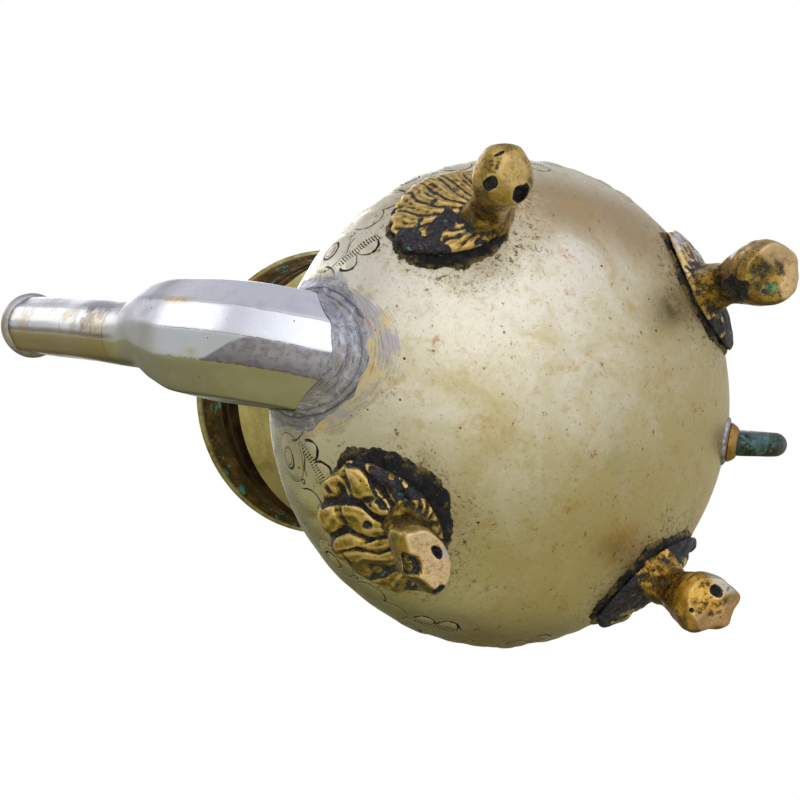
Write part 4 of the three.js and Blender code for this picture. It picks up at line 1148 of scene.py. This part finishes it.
def foot_mesh(name):
    look = LOOKS[name]
    seed, (paw_out, paw_aside) = look["seed"], look["paw"]
    mesh = fused(name, look)
    points = numbers(mesh.vertices, "co") / MM
    normals = numbers(mesh.vertex_normals, "vector")
    points += normals * (0.10 * rough(points, 1.6, seed + 4))[:, None]
    radial = points[:, 0] - FOOT_RADIUS - paw_out
    aside = points[:, 1] - paw_aside
    bored = np.zeros(len(points))
    for out, across, half_out, half_across, deep, black in look["holes"]:
        wobble = 0.25 * rough(points, 2, seed + 5)
        away = np.hypot((radial - out) / half_out, (aside - across) / half_across) + wobble
        under = (points[:, 2] < LOW_FOOT) * smooth_step(-normals[:, 2], 0.1, 0.5)
        points[:, 2] += deep * smooth_step(away, 1.05, 0.6) * under
        bored = np.maximum(bored, smooth_step(away, 1.2, 0.95) * under * black)
    if name == "back_left":
        along_side = (points[:, :2] - [66, 0]) @ np.array([-0.515, 0.857]) - SIDE_HOLE[0]
        away = np.hypot((points[:, 2] - SIDE_HOLE[1]) / SIDE_HALF[1], along_side / SIDE_HALF[0])
        away += 0.3 * rough(points, 3, seed + 6)
        seen_side = smooth_step(normals[:, :2] @ [-0.857, -0.515], 0.1, 0.4) * (points[:, 2] < 22)
        points -= normals * (SIDE_DEPTH * smooth_step(away, 1, 0.5) * seen_side)[:, None]
        bored = np.maximum(bored, smooth_step(away, 1.1, 0.9) * seen_side)
    points[:, 2] = np.where(points[:, 2] < 0.6, np.maximum(points[:, 2] - 0.2, 0), points[:, 2])
    mesh.vertices.foreach_set("co", (points * MM).ravel())
    mesh.update()
    outward(mesh)
    keep_hollows(mesh)

    moved = points - PLATE_MIDDLE
    u, v, out = moved[:, 1], moved @ PLATE_UP, moved @ PLATE_NORMAL
    reach = np.hypot(u, v + LEG_ROOT) / (PLATE_RISE * look["fan"] + LEG_ROOT)
    gap = 1 - smooth_step(lock_ridge(u, v, reach, look)[0], 0.15, 0.5)
    on_plate = smooth_step(np.hypot(u - look["root"], v + LEG_ROOT), 6, 9)
    on_plate *= smooth_step(out, 8.5, 6.5)
    base, by_u, by_v = look["tar"]
    tar = base + by_u * u + by_v * v + 0.45 * rough(points, 5, seed + 8)
    tar += 0.35 * rough(points, 2, seed + 9)
    tar = on_plate * np.maximum(smooth_step(tar, 0.25, 0.5), gap * 0.8)
    out, across, half = look["patch"]
    spot = np.hypot(radial - out, aside - across) / half + 0.3 * rough(points, 2, seed)
    patch = smooth_step(spot, 1.1, 0.8) * (points[:, 2] < LOW_FOOT) * (1 - bored)
    for mark, values in (("tar", np.maximum(tar, bored)), ("plate", on_plate), ("patch", patch),
                         ("wing", on_plate * smooth_step(-u, -1, 4)),
                         ("sole", smooth_step(points[:, 2], 1.0, 0.4) * (1 - bored))):
        keep(mesh, mark, values)
    mesh.transform(about_z(FOOT_TURNS[name]))
    return mesh


print("a leg's top in mm:", LEG_TOP.round(1))

# %% [markdown]
# Cast finish: gold where hands and tables rub, brown on the slopes, black in the hollows, and a
# little turquoise where damp sat. The upper leg under the plate has painted shade in patches.

# %% The finish of cast pieces


def cast_metal(name, gold, olive, plate_tone, sole_tone, patch_tone, silver_share):
    f = Finish(name)
    hollow, tar, sole, plate, wing, patch = [f.own(mark) for mark in (
        "hollow", "tar", "sole", "plate", "wing", "patch")]
    fine = f.noise(1.0, 1, 5, 0.7)
    clouds = f.noise(5, 2, 4, 0.6)
    mottled = clouds + fine * 0.3
    hollow = (hollow - 0.5) * plate.rise(0.0, 1.0, 0.45, 1.0) + 0.5
    grime = (hollow + (fine - 0.5) * 0.4 + (clouds - 0.5) * 0.3).rise(0.5, 0.6)
    grime = highest(grime, (tar + (fine - 0.5) * 0.9).rise(0.4, 0.55))
    grime = grime * sole.rise(0.3, 0.8, 1.0, 0.25)
    f.base = f.mix(mottled.rise(0.5, 0.8), gold, olive)
    f.paint(plate * mottled.rise(0.45, 0.8, 0.6, 1.0), plate_tone)
    f.paint((hollow - (fine - 0.5) * 0.3).rise(0.34, 0.44, 0.75, 0.0), "e2c486")
    f.paint(f.noise(2.2, 6, 5, 0.75).rise(0.56, 0.68, 0.0, 0.8), "5f4a28")
    # Painted shade: the upper leg, where it meets the plate, is darkened brown-black in patches.
    plate_shade = f.z.rise(9, 15) * (1.0 - plate) * f.noise(3.6, 10, 5, 0.75).rise(0.46, 0.6)
    f.paint(plate_shade * 0.85, "3c2a18")
    f.paint(sole * 0.85, sole_tone)
    f.paint(sole * f.noise(2.2, 7, 5, 0.75).rise(0.5, 0.66, 0.0, 0.6), "94744c")
    silver = f.noise(4, 8, 5, 0.75, stretch=(1, 1, 0.6)).rise(0.5, 0.58) * wing * silver_share
    f.paint(silver, "c6c9d0")
    grime = grime * (1.0 - silver)
    f.paint(grime, f.mix(fine.rise(0.45, 0.66), "17161e", "434352"))
    green = f.noise(2.6, 3, 4, 0.7).rise(0.63, 0.68) * grime.rise(0.0, 0.5, 0.25, 1.0)
    f.paint(green, "4f9a86")
    f.paint(f.noise(3.1, 9, 4, 0.7).rise(0.64, 0.71) * (1.0 - sole), "8c4a24")
    pits = f.spots(1.8, 4).fall(0.08, 0.16) * f.noise(5, 5).rise(0.52, 0.62)
    f.paint(pits, "2c2114")
    f.paint(patch * (fine + clouds).rise(0.8, 1.0, 0.95, 0.6), patch_tone)
    return f.done(grime * 0.2 + fine * 0.26 + sole * 0.1 + 0.16,
                  fine * 0.14 - pits * 0.12 + grime * fine * 0.35, grime.rise(0.2, 0.9, 1.0, 0.15))


for foot, look in LOOKS.items():
    finish = cast_metal("cast_brass_" + foot, *look["tones"])
    place("paw_foot_" + foot, foot_mesh(foot), finish, "cast_brass", "foot_" + foot, sharp=70)

# %% [markdown]
# Under each plate lies a bed of hard solder gone black, with a torn edge on the body.

# %% Black solder beds


def burnt_solder(name):
    f = Finish(name)
    fine = f.noise(0.8, 1, 6, 0.75)
    clouds = f.noise(4, 2, 4, 0.6)
    f.base = f.mix(clouds.rise(0.4, 0.65), "14131a", "2b2930")
    f.paint(fine.rise(0.58, 0.7, 0.0, 0.7), "5f5c60")
    border = (f.own("edge") + (fine - 0.5) * 0.4 + (clouds - 0.5) * 0.5).rise(0.93, 1.05)
    f.paint(border * clouds.rise(0.4, 0.55), "7d6c3a")
    f.paint(f.noise(2.6, 3, 4, 0.7).rise(0.66, 0.71), "4f8c7c")
    f.paint(f.noise(1.7, 4, 3, 0.7).rise(0.66, 0.72), "8a5a2c")
    return f.done(fine * 0.4 + 0.28, fine * 0.8 + clouds * 0.3, 0.35)


BED_FINISH = burnt_solder("black_solder")


def bed_mesh(foot, look):
    reach, extra, side_degrees = look["bed"]
    seed = look["seed"] + 60
    angle = full_turn(300)
    ragged = np.column_stack([np.cos(angle) * 22, np.sin(angle) * 22, angle * 0 + seed])
    grow = reach + 1.3 * rough(ragged, 6, seed) + 0.5 * rough(ragged, 1.7, seed + 1)
    grow += 0.45 * rough(ragged, 0.8, seed + 2)
    side = np.clip(np.cos(angle - math.radians(side_degrees)), 0, 1) ** 1.2
    edge_x, edge_y = fan_outline(angle, look, lobed=0)
    stretch = 1 + (grow + extra * side) / np.hypot(edge_x, edge_y)
    top, bottom, shares = [], [], np.linspace(0.03, 1, 46)
    for share in shares:
        x, y = edge_x * stretch * share, edge_y * stretch * share
        flat = flat_points(x, y)
        lumps = 0.5 * rough(flat, 2.4, seed + 2) + 0.3 * rough(flat, 0.9, seed + 3)
        height = (1.25 + lumps) * np.sqrt(max(1 - share ** 8, 0)) + 0.05
        floor_height = relief(plate_to_body(x, y, 0))
        top.append(plate_to_body(x, y, floor_height + np.maximum(height, 0.08)))
        bottom.append(plate_to_body(x, y, floor_height - 0.2))
    mesh = new_mesh(foot, *closed_skin(top + bottom[::-1]))
    rows = np.repeat(np.concatenate([shares, shares[::-1]]), len(angle))
    keep(mesh, "edge", np.concatenate([rows, [0, 0]]))
    mesh.transform(about_z(FOOT_TURNS[foot]))
    return mesh


for foot, look in LOOKS.items():
    place("burnt_bed_" + foot, bed_mesh(foot, look), BED_FINISH, "black_solder",
          "foot_solder_" + foot, sharp=80)

# %% [markdown]
# The handle is a hand-bent brass rod with a blue-grey patina. It leaves the belly square to it and
# comes back to the neck, and it leans to one side. A second tree sweeps a circle along its line.

# %% A sweep in Geometry Nodes


def sweep_tree():
    tree, given = new_tree("sweep", "Swept", Line="Geometry", Radius="Float", Sides="Int",
                           Dents="Float", Seed="Int", Material="Material")
    path = put(tree, "GeometryNodeMeshToCurve", {0: given["Line"]})
    ring = put(tree, "GeometryNodeCurvePrimitiveCircle", {"Resolution": given["Sides"],
               "Radius": given["Radius"]})
    rod = put(tree, "GeometryNodeCurveToMesh", {"Curve": path, "Profile Curve": ring,
              "Fill Caps": True})
    dent = put(tree, "ShaderNodeTexNoise", {"W": given["Seed"], "Scale": DENT_SCALE,
               "Detail": 2.0}, noise_dimensions="4D")
    amount = Wire(tree, dent) * given["Dents"]
    push = vectors(tree, "SCALE", put(tree, "GeometryNodeInputNormal"), Scale=amount)
    moved = put(tree, "GeometryNodeSetPosition", {"Geometry": rod, "Offset": push})
    return end_tree(tree, moved, given)


SWEEP = sweep_tree()

# %% The handle's line and its rod
HALF_LENGTH, ROD_RADIUS, HANDLE_LEAN, ROOT_HEIGHT, TOP_HEIGHT = 124.0, 3.9, 6.5, 35.5, 148.1
HANDLE_TURN = about_z(-1.6)
COLLAR_RADIUS, COLLAR_HEIGHT, COLLAR_FLANGE, GAP = 6.2, 3.6, 1.1, 0.3
root_x = -BODY_RADIUS * math.sqrt(1 - ((ROOT_HEIGHT - EQUATOR) / LOWER) ** 2)
HANDLE_ROOT = np.array([root_x, 0, ROOT_HEIGHT])
ROOT_NORMAL = body_normals(HANDLE_ROOT[None])[0]
HANDLE_TOP = np.array([-float(neck_radius(TOP_HEIGHT)), 0, TOP_HEIGHT])
top_share = (TOP_HEIGHT - SHOULDER) / (NECK_TOP - SHOULDER)
slope = NECK_FLARE * FLARE_POWER / (NECK_TOP - SHOULDER) * top_share ** (FLARE_POWER - 1)
TOP_NORMAL = np.array([-1, 0, -slope]) / math.hypot(1, slope)
handle_shares = [(0.3, -0.015), (0.45, 0.09), (0.69, 0.27), (0.89, 0.45), (1, 0.65),
                 (0.94, 0.86), (0.69, 1.02), (0.3, 1.05)]
across = HALF_LENGTH - ROD_RADIUS + root_x
straight = COLLAR_HEIGHT + GAP


def handle_line():
    rise = TOP_HEIGHT - ROOT_HEIGHT
    middle = [HANDLE_ROOT + [-across * out, HANDLE_LEAN * out, rise * up]
              for out, up in handle_shares]
    ends = [HANDLE_ROOT + ROOT_NORMAL * d for d in (GAP, straight)]
    tops = [HANDLE_TOP + TOP_NORMAL * d for d in (straight, GAP)]
    return spline([*ends, *middle, *tops], 14)


def aged_rod(name):
    f = Finish(name)
    clouds = f.noise(10, 1, 4, 0.6, warp=0.6)
    fine = f.noise(1.8, 2, 5, 0.7)
    f.base = f.mix((clouds + fine * 0.3).rise(0.48, 0.74), "4f686c", "37342a")
    f.paint(f.noise(4, 5, 4, 0.75).rise(0.54, 0.64, 0.0, 0.7), "5c8a88")
    f.paint(f.noise(5, 3, 4, 0.7).rise(0.58, 0.68, 0.0, 0.8), "7a6440")
    f.paint(f.noise(2.4, 4, 5, 0.75).rise(0.56, 0.64), "22221f")
    return f.done(fine * 0.3 + 0.32, clouds * 0.25 + fine * 0.08, 0.8)


ROD_FINISH = aged_rod("patinated_brass")
ROD_EASE = 0.25
rod_mesh = grown(SWEEP, handle_line(), {"Radius": (ROD_RADIUS - ROD_EASE) * MM, "Sides": 40,
                 "Dents": ROD_EASE * MM, "Seed": 5, "Material": ROD_FINISH})
rod_mesh.transform(HANDLE_TURN)
place("handle_rod", rod_mesh, ROD_FINISH, "patinated_brass", "handle", sharp=60)

# %% [markdown]
# A turned collar hides each end of the rod: a dome over a thin flange with a groove. Grey solder
# was smeared round the lower one.

# %% Collars and the handle's solder


def stand_on(place_mm, normal):
    """The matrix that stands a piece on a place, along a normal."""
    turn = Vector((0, 0, 1)).rotation_difference(Vector(normal)).to_matrix().to_4x4()
    return Matrix.Translation([c * MM for c in place_mm]) @ turn


COLLAR_FINISH = dull_brass("collar_brass", "b8935a", "7d5c2a", "3c2d18", 0.03, 0.28)
bore = ROD_RADIUS + GAP - ROD_EASE
collar = [(bore, GAP), (COLLAR_RADIUS, GAP), (COLLAR_RADIUS, GAP + 0.5),
          (COLLAR_RADIUS - 0.35, GAP + 0.65), (COLLAR_RADIUS - 0.05, GAP + 0.85),
          (COLLAR_RADIUS - 0.1, GAP + COLLAR_FLANGE),
          *spline([(5.9, 1.6), (5.55, 2.3), (5.0, 3.0), (4.4, 3.5)], 4), (bore, COLLAR_HEIGHT)]
for end, where in (("lower", (HANDLE_ROOT, ROOT_NORMAL)), ("upper", (HANDLE_TOP, TOP_NORMAL))):
    turn_piece("turned_collar_" + end, collar, COLLAR_FINISH, "collar_brass",
               f"handle_{end}_collar", 64, move=HANDLE_TURN @ stand_on(*where))

# The lower collar's solder lies between these two radii, in mm.
BED_INNER, BED_OUTER = 5.6, 7.2
side_way = np.array([0.0, 1.0, 0.0])
up_way = np.cross(ROOT_NORMAL, side_way)
angle = full_turn(90)
ring_way = np.outer(np.cos(angle), side_way) + np.outer(np.sin(angle), up_way)
outer_reach = BED_OUTER + 0.6 * rough(ring_way * 9, 5, 71) + 0.5 * rough(ring_way * 9, 1.5, 72)


def bed_points(share):
    return HANDLE_ROOT + ring_way * (BED_INNER + (outer_reach - BED_INNER) * share)[:, None]


rings = []
for share in np.linspace(0, 1, 12):
    points = bed_points(share)
    lumps = 0.12 * rough(points, 1.4, 73)
    rings.append(onto_body(points, np.maximum((0.9 + lumps) * (1 - share ** 3) + 0.03, 0.03)))
rings += [onto_body(bed_points(share), -0.15) for share in np.linspace(1, 0, 4)]
ring_mesh = new_mesh("handle_solder_ring", *closed_skin(rings, joined=True))
ring_mesh.transform(HANDLE_TURN)
place("handle_solder_ring", ring_mesh, SOLDER_FINISH, "solder", "handle_solder", sharp=70)

# %% [markdown]
# The lid is out of sight in the photo. It follows the rest of the pot: a domed sheet on a flat
# brim, a sleeve that centres it, and a turned knob on a washer. All of it swings with the hinge.

# %% The lid and its knob
BRIM_RADIUS, BRIM_LOW, BRIM_TOP, DOME_TOP, DOME_RISE = 49.0, 190.7, 192.1, 220.1, 28
SPRING, DOME_FLAT, STEM_HOLE, BEZEL, BEZEL_LOW = 44.1, 6.0, 2.0, 44.0, LEDGE - 9
top_angle = math.acos(DOME_FLAT / SPRING)
angles = np.linspace(0, top_angle, 40)
dome = np.column_stack([SPRING * np.cos(angles),
                        BRIM_TOP + DOME_RISE / math.sin(top_angle) * np.sin(angles)])
share = (dome[:, 0] - DOME_FLAT) / (SPRING - DOME_FLAT)
under = np.column_stack([dome[:, 0] - SHEET * share, dome[:, 1] - SHEET])[::-1]
lid = [(BRIM_RADIUS - 0.2, BRIM_LOW), (BRIM_RADIUS, BRIM_LOW + 0.3), (BRIM_RADIUS, BRIM_TOP - 0.4),
       (BRIM_RADIUS - 0.4, BRIM_TOP), (47.2, BRIM_TOP), (46.8, BRIM_TOP - 0.35),
       (46.4, BRIM_TOP), *dome, (STEM_HOLE, DOME_TOP), (STEM_HOLE, DOME_TOP - SHEET), *under]
turn_piece("domed_lid", lid, worn_tin("pale_brass_lid"), "pale_brass", "lid_dome", 220, 0.25, 6,
           body="lid")
sleeve = [(BEZEL - 0.9, BEZEL_LOW), (BEZEL, LEDGE), (BEZEL - 1.3, LEDGE), (BEZEL - 2.2, BEZEL_LOW)]
turn_piece("lid_sleeve", sleeve, NECK_FINISH, "neck_brass", "lid_bezel", 180, 0.1, 7, body="lid")

WASHER_TOP, KNOB_HEIGHT, KNOB_RADIUS, STEM_RADIUS, STEM_LOW = 222.0, 24.0, 7.0, 1.7, 216.4
knob_shares = [(0.62, 0), (0.8, 0.06), (0.42, 0.15), (0.38, 0.24), (0.78, 0.36), (1, 0.5),
               (0.82, 0.66), (0.4, 0.76), (0.52, 0.83), (0.3, 0.92), (0, 1)]
KNOB_BASE = WASHER_TOP + GAP
knob = spline([(KNOB_RADIUS * a, KNOB_BASE + KNOB_HEIGHT * u) for a, u in knob_shares], 7)
knob[:, 0] = np.maximum(knob[:, 0], 0)
stem = [(0, STEM_LOW), (STEM_RADIUS, STEM_LOW), (STEM_RADIUS, KNOB_BASE)]
KNOB_FINISH = dull_brass("turned_cast_brass", "cfae70", "94713a", "4a3a20", 0.02, 0.25)
turn_piece("turned_knob", [*stem, *knob], KNOB_FINISH, "cast_brass", "finial", 72, closed=False,
           body="lid")
for name, node, outer_r, low, high in (("knob_washer", "finial_washer", 7.6, 220.4, WASHER_TOP),
                                       ("riveted_burr", "finial_burr", 4.5, 217.2, 218.4)):
    washer = [(STEM_HOLE, low), (outer_r, low), (outer_r, high - 0.5), (outer_r - 0.15, high - 0.2),
              (outer_r - 0.5, high), (STEM_HOLE, high)]
    turn_piece(name, washer, KNOB_FINISH, "cast_brass", node, 72, 0.1, 8, body="lid")

# %% [markdown]
# The hinge was sawn and filed from plate and rod. Its CAD solids have the right shape but razor
# edges, so each is copied, its loose triangles are merged, and a small bevel breaks the edges.

# %% The hinge


def eased(node, name, width, body):
    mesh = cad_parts[node].data.copy()
    mesh.transform(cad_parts[node].matrix_world)
    holder = linked(name + "_raw", mesh)
    holder.modifiers.new("weld", "WELD").merge_threshold = 1e-5
    flat = holder.modifiers.new("flat", "DECIMATE")
    flat.decimate_type, flat.angle_limit = "DISSOLVE", math.radians(2)
    bevel = holder.modifiers.new("ease", "BEVEL")
    bevel.width, bevel.segments, bevel.angle_limit = width * MM, 2, math.radians(35)
    place(name, applied(holder), KNOB_FINISH, "cast_brass", node, body=body, sharp=35)


eased("hinge_leaf", "filed_leaf", 0.15, "lid")
eased("hinge_bracket", "filed_bracket", 0.2, "pot")
eased("hinge_pin", "riveted_pin", 0.15, "pot")

# %% [markdown]
# The camera stands under the pot, on the spout's side. Its place and lens were fitted to the photo:
# the three rows are the image's right, its down and the way it looks, as directions of the pot.

# %% The camera
LENS, SENSOR = 87.2606, 36.0
CAMERA_PLACE = (290.027, -45.436, -459.826)
RIGHT = (-0.87551745, 0.19562458, -0.44181468)
DOWN = (-0.20483046, -0.97841617, -0.02731826)
AHEAD = (-0.43762275, 0.06657949, 0.89669030)
camera_data = bpy.data.cameras.new("camera")
camera_data.lens, camera_data.sensor_width, camera_data.clip_start = LENS, SENSOR, 0.01
camera = linked("camera", camera_data)
pose = np.eye(4)
pose[:3, :3] = np.column_stack([RIGHT, [-c for c in DOWN], [-c for c in AHEAD]])
pose[:3, 3] = np.array(CAMERA_PLACE) * MM
camera.matrix_world = Matrix(pose.tolist())
bpy.context.scene.camera = camera
print("camera in mm at", CAMERA_PLACE)

# %% [markdown]
# Light: metal shows what surrounds it. The world is a soft sky that is brightest on the pot's left
# side, the top of the photo, and falls to a dull olive on the right. The camera itself sees white.
# A large soft lamp gives the broad highlight, and one more lights the pot from above.

# %% World and lamps
world = bpy.data.worlds.new("soft_sky")
bpy.context.scene.world = world
world.use_nodes = True
sky = world.node_tree
sky.nodes.clear()
way = put(sky, "ShaderNodeTexCoord").outputs["Generated"]


def facing(direction):
    """1 where the sky lies in a direction, -1 opposite to it."""
    unit = tuple(np.array(direction) / np.linalg.norm(direction))
    return Wire(sky, vectors(sky, "DOT_PRODUCT", way, unit).outputs["Value"])


broad = facing((0.22, 0.5, -0.84)).rise(0.3, 0.96)
strip = facing((0.346, -0.935, 0.075)).absolute().fall(0.12, 0.24)
strip = strip * facing((0.6, 0.3, 0.74)).rise(0.84, 0.9)
side_light = facing((0, 1, 0)).rise(-0.8, 0.8)
shade = facing((-0.27, -0.66, 0.70)).rise(0.66, 0.95)
strength = side_light * 0.12 + broad * 0.42 + strip * 0.8 - shade * 0.46 + 0.62
tone = blend(sky, highest(side_light, broad * 0.7), "e2ddb2", "fbfbff")
soft = put(sky, "ShaderNodeBackground", {"Color": tone, "Strength": strength})
white = put(sky, "ShaderNodeBackground", {"Color": "ffffff", "Strength": 1.0})
rays = put(sky, "ShaderNodeLightPath").outputs
direct, glossy, through = [Wire(sky, rays[f"Is {kind} Ray"])
                           for kind in ("Camera", "Glossy", "Transmission")]
behind = facing(AHEAD).rise(0.95, 0.995)
seen = highest(direct, highest(glossy, through) * behind)
mixed = put(sky, "ShaderNodeMixShader", {0: seen, 1: soft, 2: white})
put(sky, "ShaderNodeOutputWorld", {0: mixed})


POT_MIDDLE = Vector((0, 0, 0.09))


def lamp(name, way_out, distance, power, tone):
    """A round soft lamp that looks at the pot's middle from a direction."""
    data = bpy.data.lights.new(name, "AREA")
    data.shape, data.size, data.energy = "DISK", 0.8, power
    data.color = colour(tone)[:3]
    direction = Vector(way_out).normalized()
    turn = (-direction).to_track_quat("-Z", "Y").to_matrix().to_4x4()
    linked(name, data).matrix_world = Matrix.Translation(POT_MIDDLE + direction * distance) @ turn


lamp("key", (0.30, 0.46, -0.84), 0.9, 0.3, "fffdf6")
lamp("above", (-0.2, 0.25, 0.95), 1.1, 3.0, "ffffff")

# %% [markdown]
# The floor is plain and pale. The photo looks up from under it, so its underside lets the camera
# through, and it neither shades the pot from below nor shows in the metal.

# %% The floor
HALF_FLOOR = 3000
corners = [(x * HALF_FLOOR, y * HALF_FLOOR, 0) for x, y in ((-1, -1), (1, -1), (1, 1), (-1, 1))]
floor = linked("floor", new_mesh("floor", corners, [(0, 1, 2, 3)]))
floor_finish = bpy.data.materials.new("pale_floor")
floor_finish.use_nodes = True
tree = floor_finish.node_tree
tree.nodes.clear()
matt = put(tree, "ShaderNodeBsdfDiffuse", {"Color": (0.82, 0.82, 0.81, 1)})
clear = put(tree, "ShaderNodeBsdfTransparent")
side = put(tree, "ShaderNodeNewGeometry").outputs["Backfacing"]
both = put(tree, "ShaderNodeMixShader", {0: side, 1: matt, 2: clear})
put(tree, "ShaderNodeOutputMaterial", {0: both})
floor.data.materials.append(floor_finish)
floor.visible_shadow = floor.visible_glossy = floor.visible_diffuse = False

# %% Finish
bpy.context.scene.view_settings.view_transform = "Standard"
